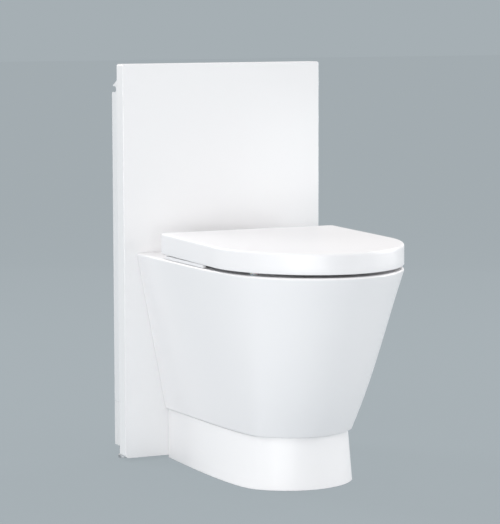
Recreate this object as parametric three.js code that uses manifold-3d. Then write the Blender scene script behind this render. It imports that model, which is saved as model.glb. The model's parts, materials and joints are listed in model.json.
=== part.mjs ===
// A floor-standing toilet: a tapered ceramic bowl on a recessed plinth, in front of
// a tall panel that hides a slim cistern and its frame.
// Millimetres, +Z up. The bowl points to -Y and the wall is at +Y.
// While it is drawn, y = 0 is the front face of the panel, x = 0 is the middle and z = 0 is the floor.
import * as THREE from "three";
import { mergeVertices } from "three/addons/utils/BufferGeometryUtils.js";
import Module from "manifold-3d";

const wasm = await Module();
wasm.setup();

// Driving dimensions
const rimHeight = 400;
const bowlReach = 550;
const rimHalfWidth = 180;
const plinthHeight = 97;
const panelHeight = 758;
const panelHalfWidth = 206.5;
const panelDepth = 29.5;
const frameDepth = 25;
const wallReach = 98;
// The outlet's height and the basin's depth, as shares of the rim's height
const outletShare = 0.55;
const basinDepthShare = 0.655;
// The rim's width beside, before and behind the basin
const rimSideWidth = 52;
const rimFrontWidth = 47;
const rimBackWidth = 177;
const rimShoulderBack = 196;
// How far below the rim the flush pipe and the studs enter
const flushDrop = 45;
const studDrop = 80;
// How far the cistern's floor is above the rim, and its rim below the panel's top
const tankRise = 60;
const tankDrop = 30;
// How far the lid stays inside the rim's outline
const lidSideInset = 0.6;
const lidFrontInset = 1;
const lidShoulderBack = 196;

// Clearances
const gap = 0.3;
const slideGap = 0.4;
const overrun = 2;

// How far round its quarter turn each level of a rounded edge lies
const edgeShares = [0, 0.5, 1];

// Counts of faces
const frontCount = 32;
const roundCount = 20;
const smallCount = 12;
const hoseCount = 10;
const hexCount = 6;
const cornerCount = 3;
const basinCount = 20;
const trapCount = 10;

const panel = {
  floorGap: 5,
  wall: 4,
  face: 5,
  corner: 4,
  wasteHoleRadius: 64.5,
  flushHoleRadius: 32,
  studHoleRadius: 9,
};

// Outlines seen from above: a straight back, near straight sides and a rounded front.
const bowl = {
  wall: 11,
  rearWall: 14,
  deck: 14,
  edge: 4,
  footEdge: 3,
  rim: {
    back: gap,
    halfBack: rimHalfWidth,
    half: rimHalfWidth,
    shoulder: bowlReach - rimShoulderBack,
    tip: bowlReach,
    cornerShare: 1.86,
  },
  foot: { back: gap, halfBack: 124, half: 110, shoulder: 322, tip: 407, cornerShare: 1.72 },
};

const basin = {
  centre: (bowlReach - rimFrontWidth + rimBackWidth) / 2,
  halfWidth: rimHalfWidth - rimSideWidth,
  halfLength: (bowlReach - rimFrontWidth - rimBackWidth) / 2,
  depth: rimHeight * basinDepthShare,
  sumpBack: 78,
  wall: 10,
  edge: 6,
  levelShares: [0.1, 0.3, 0.5, 0.7, 0.87, 1],
  sizeShares: [0.99, 0.92, 0.79, 0.6, 0.42, 0.25],
};

const waste = {
  height: rimHeight * outletShare,
  boreRadius: 40,
  spigotRadius: 51,
  spigotLength: 20,
  sumpDrop: 67,
  weirRise: 12,
  stepCount: 7,
  backShares: [0.74, 0.6, 0.44, 0.3, 0.17, 0.06],
  riseShares: [0.86, 1, 0.5, -0.6, -1, -0.2],
};

const flush = { height: rimHeight - flushDrop, bossRadius: 38, boreRadius: 27.5 };

const studs = {
  height: rimHeight - studDrop,
  halfSpacing: 90,
  radius: 6,
  reach: 34,
  head: 12,
  nutRadius: 10.5,
  nut: 10,
};

const plinth = {
  wall: 10,
  base: {
    back: gap,
    halfBack: 117.7,
    half: 124.6,
    shoulder: 273.6,
    tip: 402.8,
    cornerShare: 1.98,
  },
  top: { back: gap, halfBack: 117.7, half: 114, shoulder: 290, tip: 397, cornerShare: 1.86 },
};

const floorFixing = {
  lugInner: 84,
  lugOuter: 116,
  lugHalfLength: 15,
  lugHeight: 12,
  distance: 200,
  x: 97,
  shankRadius: 3.9,
  holeRadius: 4.5,
  headRadius: 7.5,
  head: 4.5,
};

const upright = {
  width: 24,
  sheet: 2.5,
  low: 110,
  highDrop: 53.7,
  corner: 3,
  notchRadius: 5.6,
  notchDepth: 4.5,
  hookReach: 19,
  hookTip: 2.5,
  hookSlope: 9.5,
};

const sleeve = { low: 25, floor: 4 };

const foot = {
  padRadius: 10,
  pad: 6,
  boltRadius: 5,
  nutRadius: 8.5,
  nutDepth: 6,
  rise: 25,
  inset: 12.5,
};

const plate = { depth: 8, offset: 6, below: 90, above: 30, notchHalf: 31, notchDrop: 30, play: 4 };

const bracket = { sheet: 3, lowShare: 0.5224, height: 40, flange: 14, inward: 38, setIn: 7 };

const clip = { drop: 118, height: 50, width: 14, depth: 16, slot: 4 };

const tank = {
  widthShare: 0.799,
  front: 9,
  back: 94,
  low: rimHeight + tankRise,
  high: panelHeight - tankDrop,
  wall: 4,
  ear: 4,
  earLowShare: 0.2985,
  earHeight: 30,
  earReach: 28,
};
const tankHalfWidth = panelHalfWidth * tank.widthShare;
const tankHeight = tank.high - tank.low;

const tankLid = { lip: 2.4, lipDepth: 12, sheet: 3.7 };

const housing = {
  halfWidth: 58,
  halfDepth: 23,
  depth: 20.3,
  flange: 4,
  flangeHeight: 3,
  wall: 2.5,
  floor: 3,
  rib: 1.2,
};

const button = { height: 15.3, proud: 3, travel: 6, fullRodX: 44, halfRodX: 30, rodRadius: 2.5 };

const spring = { innerRadius: 5, outerRadius: 6.5 };

const flushValve = {
  tailRadius: 29.5,
  tailDrop: 36,
  flangeRadius: 38,
  flange: 3.5,
  gasket: 1.7,
  lip: 4,
  lipRadius: 28,
  cageDrop: 74,
  cageTop: 4,
  legSize: 5,
  legRadius: 33,
  tubeRadius: 14,
  tubeBore: 11,
  tubeDrop: 38,
  tubeFootRadius: 24,
  tubeFoot: 4,
  guide: 0.6,
  seal: 3,
  collarRadius: 20,
  collar: 3.2,
  nutRadius: 38,
  nut: 12,
};

const rocker = {
  pivotX: 32,
  pivotRise: 10,
  tubeArm: 17,
  rodArm: 15,
  half: 2,
  halfDepth: 3.6,
  bossRadius: 4,
  earHalfLength: 4,
  earSheet: 2.5,
  earTop: 5,
  pinRadius: 1.9,
  boreRadius: 2.2,
  lowerReach: 1.3,
};

const fillValve = {
  valveGap: 50.9,
  wallShare: 0.1,
  shankRadius: 7.5,
  shankDrop: 28,
  flangeRadius: 16,
  flange: 4,
  columnRadius: 10,
  headRadius: 16,
  headDrop: 52,
  head: 26,
  nutRadius: 14,
  nut: 7.5,
  leverLength: 26,
  leverHalf: 3.5,
  leverHalfDepth: 3,
  leverDrop: 14,
  leverPivot: 21,
  leverPast: 7.5,
  pivotRadius: 1.8,
  earHalf: 4,
  earSheet: 2.5,
};

const float = {
  radius: 26,
  drop: 38,
  heightShare: 0.1866,
  guide: 0.6,
  travel: 12,
  pinRadius: 1.2,
  slotPlay: 0.5,
  postHalf: 3.5,
  postSheet: 2.5,
  postGap: 0.4,
  armHeight: 7,
};

const stopValve = {
  inward: 66.5,
  y: 62,
  below: 180,
  bodyRadius: 9,
  bodyDrop: 12,
  bodyRise: 23,
  pipeRadius: 8,
  pipeBore: 5.5,
  roseRadius: 22,
  rose: 3,
  spindleRadius: 3.5,
  spindle: 8,
  handleLength: 28,
  handleHalf: 5,
  handle: 5,
};

const hose = { radius: 6, stepCount: 16, straight: 14 };

const bend = {
  radius: 22.5,
  bore: 20,
  turn: 30,
  reach: 28,
  stepCount: 8,
  topDrop: 20,
  sealLength: 20,
  sealStart: 4,
};

const connector = {
  start: 9,
  socketRadius: 62,
  socketBore: 57,
  socketEnd: 42,
  pipeRadius: 50,
  pipeBore: 46,
  pipeStart: 50,
  sealStart: 11,
  sealEnd: 17,
};

const hinge = {
  distance: 130,
  rise: 24,
  x: 78,
  pinRadius: 5,
  boreRadius: 5.3,
  knuckleRadius: 9,
  postHalf: 8,
  postHalfDepth: 8,
  postTop: 9.5,
  baseRadius: 18,
  base: 3,
  boltRadius: 4,
  boltHole: 5.5,
  boltReach: 30,
  knuckle: 12,
  side: 1,
  nutRadius: 10,
  nut: 7,
  damperRadius: 7,
  damperLength: 35,
};

const lid = {
  back: 114,
  half: rimHalfWidth - lidSideInset,
  shoulder: bowlReach - lidShoulderBack,
  tip: bowlReach - lidFrontInset,
  cornerShare: 1.88,
  lowRise: 7,
  backTopRise: 48,
  frontTopRise: 42.5,
  edge: 4,
  wall: 4,
  ceilingRise: 38,
  backOpening: 106,
};

const seat = {
  back: 148,
  sideGap: 2.5,
  lowRise: 8,
  highRise: 26,
  edge: 4,
  holeForward: 5,
  holeSideInset: 20,
  holeEndInset: 23,
  holeEdge: 6,
  lipStartShare: 0.427,
  lipEndShare: 0.859,
  lipLowRise: 1.2,
  lipHighRise: 6.4,
  lipDepth: 12,
  lipInset: 0.8,
  armHighRise: 31,
};

const buffer = {
  radius: 8,
  rearSideInset: 30,
  rearShare: 0.4273,
  frontSideInset: 45,
  frontInset: 120,
  lidInset: 42,
};

// Heights and places that follow from the sizes above
const uprightHigh = panelHeight - upright.highDrop;
const plateHigh = studs.height + plate.above;
const bracketLow = tank.low + tankHeight * bracket.lowShare;
const bracketHigh = bracketLow + bracket.height;
const clipLow = panelHeight - clip.drop;
const clipHigh = clipLow + clip.height;
const earLow = tank.low + tankHeight * tank.earLowShare;
const bendTop = tank.low - bend.topDrop;
const shankLow = tank.low - fillValve.shankDrop;
const fillHigh = tank.high - fillValve.headDrop;
const fillX =
  flushValve.flangeRadius + fillValve.valveGap + fillValve.wallShare * (tankHalfWidth - tank.wall);
const stopX = panelHalfWidth - stopValve.inward;
const stopZ = tank.low - stopValve.below;
const hingeHeight = rimHeight + hinge.rise;
const lidLow = rimHeight + lid.lowRise;
const lidCeiling = rimHeight + lid.ceilingRise;
const seatLow = rimHeight + seat.lowRise;
const seatHigh = rimHeight + seat.highRise;

// Finishes
const finishes = {
  glaze: { color: 0xf3f3f1, roughness: 0.12, metalness: 0 },
  gloss: { color: 0xf1f2f1, roughness: 0.18, metalness: 0 },
  frame: { color: 0xdcdedd, roughness: 0.45, metalness: 0 },
  tank: { color: 0xe6e6e2, roughness: 0.5, metalness: 0 },
  moulding: { color: 0xc9cdd0, roughness: 0.45, metalness: 0 },
  rubber: { color: 0x2b2c2d, roughness: 0.85, metalness: 0 },
  clearRubber: { color: 0xcfd3d4, roughness: 0.5, metalness: 0 },
  chrome: { color: 0xd8dadc, roughness: 0.1, metalness: 1 },
  steel: { color: 0xb4b7b9, roughness: 0.35, metalness: 1 },
  brass: { color: 0xc9a96b, roughness: 0.3, metalness: 1 },
};

// Solids

// A closed geometry as a solid, with its faces turned outwards.
function solidOf(geometry) {
  const bare = geometry.clone();
  bare.deleteAttribute("normal");
  bare.deleteAttribute("uv");
  const merged = mergeVertices(bare);
  const triVerts = new Uint32Array(merged.index.array);
  const vertProperties = new Float32Array(merged.attributes.position.array);
  const made = new wasm.Manifold(new wasm.Mesh({ numProp: 3, vertProperties, triVerts }));
  if (made.volume() > 0) return made;
  const turned = triVerts.slice();
  for (let i = 0; i < turned.length; i += 3) {
    turned[i] = triVerts[i + 1];
    turned[i + 1] = triVerts[i];
  }
  return new wasm.Manifold(new wasm.Mesh({ numProp: 3, vertProperties, triVerts: turned }));
}

function geometryOf(solid) {
  const mesh = solid.getMesh();
  const geometry = new THREE.BufferGeometry();
  geometry.setAttribute("position", new THREE.BufferAttribute(mesh.vertProperties, 3));
  geometry.setIndex(new THREE.BufferAttribute(mesh.triVerts, 1));
  const faceted = geometry.toNonIndexed();
  faceted.computeVertexNormals();
  return faceted;
}

// A box between two values on each axis, given in either order.
function block(x0, x1, y0, y1, z0, z1) {
  const size = [Math.abs(x1 - x0), Math.abs(y1 - y0), Math.abs(z1 - z0)];
  const geometry = new THREE.BoxGeometry(...size);
  geometry.translate((x0 + x1) / 2, (y0 + y1) / 2, (z0 + z1) / 2);
  return solidOf(geometry);
}

// Turns a geometry drawn round the y axis to stand round the named axis, and moves it.
function placed(geometry, axis, at) {
  if (axis === "z") geometry.rotateX(Math.PI / 2);
  if (axis === "x") geometry.rotateZ(-Math.PI / 2);
  geometry.translate(at.x ?? 0, at.y ?? 0, at.z ?? 0);
  return solidOf(geometry);
}

// A round bar along an axis, from one value to another on that axis.
function bar(axis, radius, from, to, at, count = roundCount) {
  const geometry = new THREE.CylinderGeometry(radius, radius, Math.abs(to - from), count);
  geometry.translate(0, (from + to) / 2, 0);
  return placed(geometry, axis, at);
}

// A profile of radius and distance along the axis, turned round that axis.
function turnedSolid(axis, profile, at, count = roundCount) {
  const points = profile.map(([radius, along]) => new THREE.Vector2(radius, along));
  points.push(points[0].clone());
  return placed(new THREE.LatheGeometry(points, count), axis, at);
}

// The radius at the corners of a round hole whose flat faces lie at the given radius.
function holeRadius(radius, count = roundCount) {
  return radius / Math.cos(Math.PI / count);
}

function hole(axis, radius, from, to, at, count = roundCount) {
  return bar(axis, holeRadius(radius, count), from, to, at, count);
}

function pipe(axis, outer, bore, from, to, at, count = roundCount) {
  const inner = holeRadius(bore, count);
  const profile = [[inner, from], [outer, from], [outer, to], [inner, to]];
  return turnedSolid(axis, profile, at, count);
}

// A solid through outlines of equal point counts, listed from the lowest up.
// Each level has its points and its height, or a height for each place.
function loft(levels) {
  const count = levels[0].points.length;
  const geometry = new THREE.CylinderGeometry(1, 1, 1, count, levels.length - 1);
  const position = geometry.getAttribute("position");
  const spot = (level, index) => {
    const [x, y] = level.points[index];
    return [x, y, typeof level.height === "function" ? level.height(x, y) : level.height];
  };
  for (let v = 0; v < position.count; v += 1) {
    const level = levels[Math.round((position.getY(v) + 0.5) * (levels.length - 1))];
    const turn = Math.atan2(position.getX(v), position.getZ(v)) / (2 * Math.PI);
    let place = spot(level, (Math.round(turn * count) + count) % count);
    if (Math.hypot(position.getX(v), position.getZ(v)) < 0.5) {
      place = [0, 1, 2].map((k) => {
        let sum = 0;
        for (let i = 0; i < count; i += 1) sum += spot(level, i)[k];
        return sum / count;
      });
    }
    position.setXYZ(v, ...place);
  }
  return solidOf(geometry);
}

function between(a, b, share) {
  return Object.fromEntries(Object.keys(a).map((key) => [key, a[key] + (b[key] - a[key]) * share]));
}

function inset(outline, by, backBy = by) {
  return {
    ...outline,
    back: outline.back + backBy,
    halfBack: outline.halfBack - by,
    half: outline.half - by,
    tip: outline.tip - by,
  };
}

// The points of an outline, from the back left corner round the front to the back right one.
function outlinePoints(outline) {
  const points = [[-outline.halfBack, -outline.back]];
  for (let i = 0; i <= frontCount; i += 1) {
    const turn = (Math.PI * i) / frontCount;
    const across = Math.abs(Math.cos(turn)) ** (2 / outline.cornerShare);
    const along = Math.abs(Math.sin(turn)) ** (2 / outline.cornerShare);
    const side = i * 2 < frontCount ? -1 : 1;
    const reach = outline.shoulder + (outline.tip - outline.shoulder) * along;
    points.push([side * across * outline.half, -reach]);
  }
  points.push([outline.halfBack, -outline.back]);
  return points;
}

function ovalPoints(centreY, halfWidth, halfLength, count = basinCount) {
  return Array.from({ length: count }, (_, i) => {
    const turn = (2 * Math.PI * i) / count;
    return [halfWidth * Math.sin(turn), centreY - halfLength * Math.cos(turn)];
  });
}

// Levels that round off the edge of an outline up to a height.
function roundedTop(outline, height, radius, backRound = 0) {
  return edgeShares.map((share) => {
    const turn = (share * Math.PI) / 2;
    const drop = radius * (1 - Math.sin(turn));
    const step = radius * (1 - Math.cos(turn));
    const points = outlinePoints(inset(outline, step, step * backRound));
    return { points, height: typeof height === "function" ? (x, y) => height(x, y) - drop : height - drop };
  });
}

// A tube along a path, drawn as a round section pushed along it.
function sweptTube(path, radius, steps, count = roundCount) {
  const section = new THREE.Shape();
  section.absarc(0, 0, radius, 0, 2 * Math.PI, false);
  const geometry = new THREE.ExtrudeGeometry(section, {
    steps,
    curveSegments: count / 2,
    extrudePath: path,
    bevelEnabled: false,
  });
  return solidOf(geometry);
}

// A flat outline in y and z, given thickness along x.
function sidePlate(shape, x0, x1) {
  const geometry = new THREE.ExtrudeGeometry(shape, {
    depth: Math.abs(x1 - x0),
    bevelEnabled: false,
    curveSegments: hexCount,
  });
  geometry.rotateZ(Math.PI / 2);
  geometry.rotateY(Math.PI / 2);
  geometry.translate(Math.min(x0, x1), 0, 0);
  return solidOf(geometry);
}

// The whole model

const model = new THREE.Group();
const inner = new THREE.Group();
model.add(inner);
// The origin lies on the floor under the middle of the model.
inner.position.y = (bowlReach - wallReach) / 2;

function add(name, solid, finish) {
  const mesh = new THREE.Mesh(geometryOf(solid), new THREE.MeshStandardMaterial(finishes[finish]));
  mesh.name = name;
  inner.add(mesh);
}

const sides = [["left", -1], ["right", 1]];

// Panel

function roundedRect(halfWidth, low, high, corner) {
  const shape = new THREE.Shape();
  shape.moveTo(-halfWidth + corner, low);
  shape.lineTo(halfWidth - corner, low);
  shape.absarc(halfWidth - corner, low + corner, corner, -Math.PI / 2, 0, false);
  shape.absarc(halfWidth - corner, high - corner, corner, 0, Math.PI / 2, false);
  shape.absarc(-halfWidth + corner, high - corner, corner, Math.PI / 2, Math.PI, false);
  shape.absarc(-halfWidth + corner, low + corner, corner, Math.PI, 1.5 * Math.PI, false);
  return shape;
}

// A shape in x and z, given depth from a front y to a back y.
function facingPlate(shape, front, back) {
  const geometry = new THREE.ExtrudeGeometry(shape, {
    depth: back - front,
    bevelEnabled: false,
    curveSegments: cornerCount,
  });
  geometry.rotateX(Math.PI / 2);
  geometry.translate(0, back, 0);
  return solidOf(geometry);
}

function frontPanel() {
  const low = panel.floorGap;
  const inside = panel.wall;
  let made = facingPlate(roundedRect(panelHalfWidth, low, panelHeight, panel.corner), 0, panelDepth);
  made = made.subtract(
    block(
      -panelHalfWidth + inside,
      panelHalfWidth - inside,
      panel.face,
      panelDepth + overrun,
      low + inside,
      panelHeight - inside,
    ),
  );
  const through = [-overrun, panel.face + overrun];
  made = made.subtract(hole("y", panel.wasteHoleRadius, ...through, { z: waste.height }));
  made = made.subtract(hole("y", panel.flushHoleRadius, ...through, { z: flush.height }));
  for (const [, side] of sides) {
    const at = { x: side * studs.halfSpacing, z: studs.height };
    made = made.subtract(hole("y", panel.studHoleRadius, ...through, at));
  }
  add("front_panel", made, "gloss");
}

// Bowl

function bowlOutline(height) {
  const share = (height - plinthHeight) / (rimHeight - plinthHeight);
  return between(bowl.foot, bowl.rim, share);
}

// The basin's own levels, grown by a wall and reaching lower by it too.
function basinLevels(grow) {
  const levels = basin.levelShares.map((levelShare, i) => {
    const drop = levelShare * basin.depth + grow * levelShare;
    const centre = basin.centre - basin.sumpBack * levelShare ** 2;
    const halfWidth = basin.halfWidth * basin.sizeShares[i] + grow;
    const halfLength = basin.halfLength * basin.sizeShares[i] + grow;
    return { points: ovalPoints(-centre, halfWidth, halfLength), height: rimHeight - drop };
  });
  return levels.reverse();
}

// Levels that open an oval hole with a rounded edge up to a height.
function roundedMouth(centre, halfWidth, halfLength, height, radius) {
  const levels = edgeShares.map((share) => {
    const turn = (share * Math.PI) / 2;
    const grow = radius * (1 - Math.cos(turn));
    const points = ovalPoints(-centre, halfWidth + grow, halfLength + grow);
    return { points, height: height - radius * (1 - Math.sin(turn)) };
  });
  levels.push({ points: levels[levels.length - 1].points, height: height + overrun });
  return levels;
}

function basinVoid() {
  const b = basin;
  return loft([...basinLevels(0), ...roundedMouth(b.centre, b.halfWidth, b.halfLength, rimHeight, b.edge)]);
}

function trapPath(endY) {
  const start = basin.sumpBack - basin.centre;
  const points = [new THREE.Vector3(0, start, waste.height - waste.sumpDrop * waste.riseShares[0])];
  waste.backShares.forEach((backShare, i) => {
    const rise = waste.riseShares[i];
    const lift = rise > 0 ? -rise * waste.sumpDrop : -rise * waste.weirRise;
    points.push(new THREE.Vector3(0, start * backShare, waste.height + lift));
  });
  points.push(new THREE.Vector3(0, 0, waste.height));
  points.push(new THREE.Vector3(0, endY, waste.height));
  return new THREE.CatmullRomCurve3(points);
}

function bowlSolid() {
  const outline = (height) => outlinePoints(bowlOutline(height));
  const outer = loft([
    { points: outlinePoints(inset(bowl.foot, bowl.footEdge, 0)), height: plinthHeight },
    { points: outline(plinthHeight + bowl.footEdge), height: plinthHeight + bowl.footEdge },
    ...roundedTop(bowl.rim, rimHeight, bowl.edge),
  ]);
  const ceiling = rimHeight - bowl.deck;
  const hollow = loft([
    { points: outlinePoints(inset(bowl.foot, bowl.wall, bowl.rearWall)), height: plinthHeight - overrun },
    { points: outlinePoints(inset(bowlOutline(ceiling), bowl.wall, bowl.rearWall)), height: ceiling },
  ]);
  const basinWall = loft([
    ...basinLevels(basin.wall),
    {
      points: ovalPoints(-basin.centre, basin.halfWidth + basin.wall, basin.halfLength + basin.wall),
      height: ceiling + overrun,
    },
  ]);
  const inletEnd = -(basin.centre - basin.halfLength);
  const inletAt = { z: flush.height };
  let made = outer.subtract(hollow).add(basinWall);
  const trapTube = (length, radius) => sweptTube(trapPath(length), radius, waste.stepCount, trapCount);
  made = made.add(trapTube(waste.spigotLength, waste.spigotRadius));
  made = made.add(bar("y", flush.bossRadius, inletEnd - overrun, -bowl.rearWall + overrun, inletAt));
  made = made.subtract(basinVoid());
  made = made.subtract(trapTube(waste.spigotLength + overrun, waste.boreRadius));
  made = made.subtract(hole("y", flush.boreRadius, inletEnd - basin.wall, overrun, inletAt));
  for (const [, side] of sides) {
    const studAt = { x: side * studs.halfSpacing, z: studs.height };
    made = made.subtract(hole("y", panel.studHoleRadius, -bowl.rearWall - overrun, overrun, studAt));
    const boltAt = { x: side * hinge.x, y: -hinge.distance };
    made = made.subtract(hole("z", hinge.boltHole, ceiling - overrun, rimHeight + overrun, boltAt));
  }
  return made;
}

// Plinth

function plinthSolid() {
  const high = plinthHeight - gap;
  const levels = (by, low, top) => [
    { points: outlinePoints(inset(plinth.base, by)), height: low },
    { points: outlinePoints(inset(plinth.top, by)), height: top },
  ];
  let made = loft(levels(0, 0, high)).subtract(loft(levels(plinth.wall, -overrun, high + overrun)));
  for (const [, side] of sides) {
    const start = -floorFixing.distance - floorFixing.lugHalfLength;
    const end = -floorFixing.distance + floorFixing.lugHalfLength;
    const lug = [side * floorFixing.lugInner, side * floorFixing.lugOuter, start, end];
    made = made.add(block(...lug, 0, floorFixing.lugHeight));
    const at = { x: side * floorFixing.x, y: -floorFixing.distance };
    made = made.subtract(hole("z", floorFixing.holeRadius, -overrun, floorFixing.lugHeight + overrun, at));
  }
  return made;
}

function floorScrews() {
  for (const [word, side] of sides) {
    const at = { x: side * floorFixing.x, y: -floorFixing.distance };
    const seatZ = floorFixing.lugHeight + gap;
    const shank = bar("z", floorFixing.shankRadius, gap, seatZ + floorFixing.head / 2, at);
    const head = bar("z", floorFixing.headRadius, seatZ, seatZ + floorFixing.head, at);
    add(`floor_screw_${word}`, shank.add(head), "steel");
  }
}

// Frame

// The side of an upright in y and z, with the round notch and the hook at its top.
function uprightShape(low) {
  const front = panelDepth + gap;
  const back = panelDepth + frameDepth;
  const notchY = front + upright.notchDepth + upright.notchRadius;
  const notchZ = uprightHigh + upright.notchRadius;
  const hookZ = notchZ + upright.notchRadius;
  const tipY = front + upright.hookReach;
  const shape = new THREE.Shape();
  shape.moveTo(front, low);
  shape.lineTo(back, low);
  shape.lineTo(back, uprightHigh - upright.corner);
  shape.absarc(back - upright.corner, uprightHigh - upright.corner, upright.corner, 0, Math.PI / 2, false);
  shape.lineTo(notchY, uprightHigh);
  shape.absarc(notchY, notchZ, upright.notchRadius, -Math.PI / 2, Math.PI / 2, true);
  shape.lineTo(tipY, hookZ);
  shape.lineTo(tipY, hookZ + upright.hookTip);
  shape.lineTo(front, hookZ + upright.hookTip + upright.hookSlope);
  return shape;
}

function frameUprights() {
  const front = panelDepth + gap;
  const back = panelDepth + frameDepth;
  for (const [word, side] of sides) {
    const outer = side * panelHalfWidth;
    const inside = side * (panelHalfWidth - upright.sheet);
    const open = side * (panelHalfWidth - upright.width);
    const past = side * (panelHalfWidth - upright.width - overrun);
    const plateSolid = sidePlate(uprightShape(upright.low + gap), outer, inside);
    const channelHigh = uprightHigh - upright.corner;
    const channel = block(outer, open, front, back, upright.low + gap, channelHigh).subtract(
      block(inside, past, front + upright.sheet, back - upright.sheet, upright.low, uprightHigh),
    );
    add(`frame_upright_${word}`, plateSolid.add(channel), "frame");

    const lowPart = block(outer, open, front, back, sleeve.low, upright.low).subtract(
      block(
        inside,
        past,
        front + upright.sheet,
        back - upright.sheet,
        sleeve.low + sleeve.floor,
        upright.low + overrun,
      ),
    );
    const footAt = { x: side * (panelHalfWidth - foot.inset), y: (front + back) / 2 };
    const through = [sleeve.low - overrun, sleeve.low + sleeve.floor + overrun];
    const bored = lowPart.subtract(hole("z", foot.boltRadius + slideGap, ...through, footAt));
    add(`foot_sleeve_${word}`, bored, "moulding");

    const nutHigh = sleeve.low - gap;
    const footSolid = bar("z", foot.padRadius, 0, foot.pad, footAt)
      .add(bar("z", foot.boltRadius, foot.pad / 2, sleeve.low + foot.rise, footAt))
      .add(bar("z", foot.nutRadius, nutHigh - foot.nutDepth, nutHigh, footAt, hexCount));
    add(`levelling_foot_${word}`, footSolid, "steel");
  }
}

function carrierPlate() {
  const front = panelDepth + plate.offset;
  const back = front + plate.depth;
  const end = panelHalfWidth - upright.sheet - gap;
  let made = block(-end, end, front, back, waste.height - plate.below, plateHigh);
  const through = [front - overrun, back + overrun];
  made = made.subtract(hole("y", connector.socketRadius + plate.play, ...through, { z: waste.height }));
  made = made.subtract(
    block(-plate.notchHalf, plate.notchHalf, ...through, flush.height - plate.notchDrop, plateHigh + overrun),
  );
  for (const [, side] of sides) {
    const at = { x: side * studs.halfSpacing, z: studs.height };
    made = made.subtract(hole("y", studs.radius + slideGap, ...through, at));
  }
  add("carrier_plate", made, "steel");
}

function wallBrackets() {
  const back = panelDepth + frameDepth;
  const outerEdge = panelHalfWidth - bracket.setIn;
  for (const [word, side] of sides) {
    const web = outerEdge - bracket.flange;
    const flange = block(
      side * outerEdge,
      side * web,
      back + gap,
      back + gap + bracket.sheet,
      bracketLow,
      bracketHigh,
    );
    const webSolid = block(
      side * web,
      side * (web - bracket.sheet),
      back + gap,
      wallReach,
      bracketLow,
      bracketHigh,
    );
    const wallPlate = block(
      side * web,
      side * (web - bracket.inward),
      wallReach - bracket.sheet,
      wallReach,
      bracketLow,
      bracketHigh,
    );
    add(`wall_bracket_${word}`, flange.add(webSolid).add(wallPlate), "steel");
  }
}

function panelClips() {
  const outer = panelHalfWidth - panel.wall - gap;
  for (const [word, side] of sides) {
    const body = block(
      side * outer,
      side * (outer - clip.width),
      panelDepth - clip.depth,
      panelDepth,
      clipLow,
      clipHigh,
    );
    const slotLow = (clipLow + clipHigh - clip.slot) / 2;
    const slot = block(
      side * (outer - clip.width / 2),
      side * (outer - clip.width - overrun),
      panelDepth - clip.depth - overrun,
      panelDepth + overrun,
      slotLow,
      slotLow + clip.slot,
    );
    add(`panel_clip_${word}`, body.subtract(slot), "moulding");
  }
}

function bowlStuds() {
  const front = -bowl.rearWall - gap;
  const plateBack = panelDepth + plate.offset + plate.depth;
  for (const [word, side] of sides) {
    const at = { x: side * studs.halfSpacing, z: studs.height };
    const flangeStart = plateBack + gap;
    const stud = bar("y", studs.radius, -studs.reach, flangeStart + studs.nut, at).add(
      bar("y", studs.head, flangeStart, flangeStart + studs.nut, at, hexCount),
    );
    add(`bowl_stud_${word}`, stud, "steel");
    const nut = pipe("y", studs.nutRadius, studs.radius + gap, front - studs.nut, front, at, hexCount);
    add(`stud_nut_${word}`, nut, "steel");
  }
}

// Waste and flush pipes

function wasteParts() {
  const c = connector;
  const at = { z: waste.height };
  const profile = [
    [c.socketBore, c.start],
    [c.socketRadius, c.start],
    [c.socketRadius, c.socketEnd],
    [c.pipeRadius, c.pipeStart],
    [c.pipeRadius, wallReach],
    [c.pipeBore, wallReach],
    [c.pipeBore, c.pipeStart],
    [c.socketBore, c.socketEnd],
  ];
  add("waste_connector", turnedSolid("y", profile, at), "moulding");
  const seal = pipe("y", c.socketBore - gap, waste.spigotRadius + gap, c.sealStart, c.sealEnd, at);
  add("waste_seal", seal, "rubber");
}

const valveY = (tank.front + tank.back) / 2;

function flushPath(endY) {
  const path = new THREE.CurvePath();
  const corner = new THREE.Vector3(0, valveY, flush.height);
  const top = new THREE.Vector3(0, valveY, bendTop);
  const bendStart = new THREE.Vector3(0, valveY, flush.height + bend.turn);
  const bendEnd = new THREE.Vector3(0, valveY - bend.turn, flush.height);
  path.add(new THREE.LineCurve3(top, bendStart));
  path.add(new THREE.QuadraticBezierCurve3(bendStart, corner, bendEnd));
  path.add(new THREE.LineCurve3(bendEnd, new THREE.Vector3(0, endY, flush.height)));
  return path;
}

function flushPipe() {
  const outer = sweptTube(flushPath(-bend.reach), bend.radius, bend.stepCount);
  const bore = sweptTube(flushPath(-bend.reach), bend.bore, bend.stepCount);
  const at = { x: 0, y: valveY };
  const open = bar("z", bend.bore, bendTop - overrun, bendTop + overrun, at);
  const mouth = bar("y", bend.bore, -bend.reach - overrun, -bend.reach + overrun, { z: flush.height });
  add("flush_bend", outer.subtract(bore).subtract(open).subtract(mouth), "moulding");
  const sealEnd = -bend.sealStart - bend.sealLength;
  const sealAt = { z: flush.height };
  const seal = pipe("y", flush.boreRadius - gap, bend.radius + gap, sealEnd, -bend.sealStart, sealAt);
  add("inlet_cone_seal", seal, "rubber");
}

// Cistern

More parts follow.
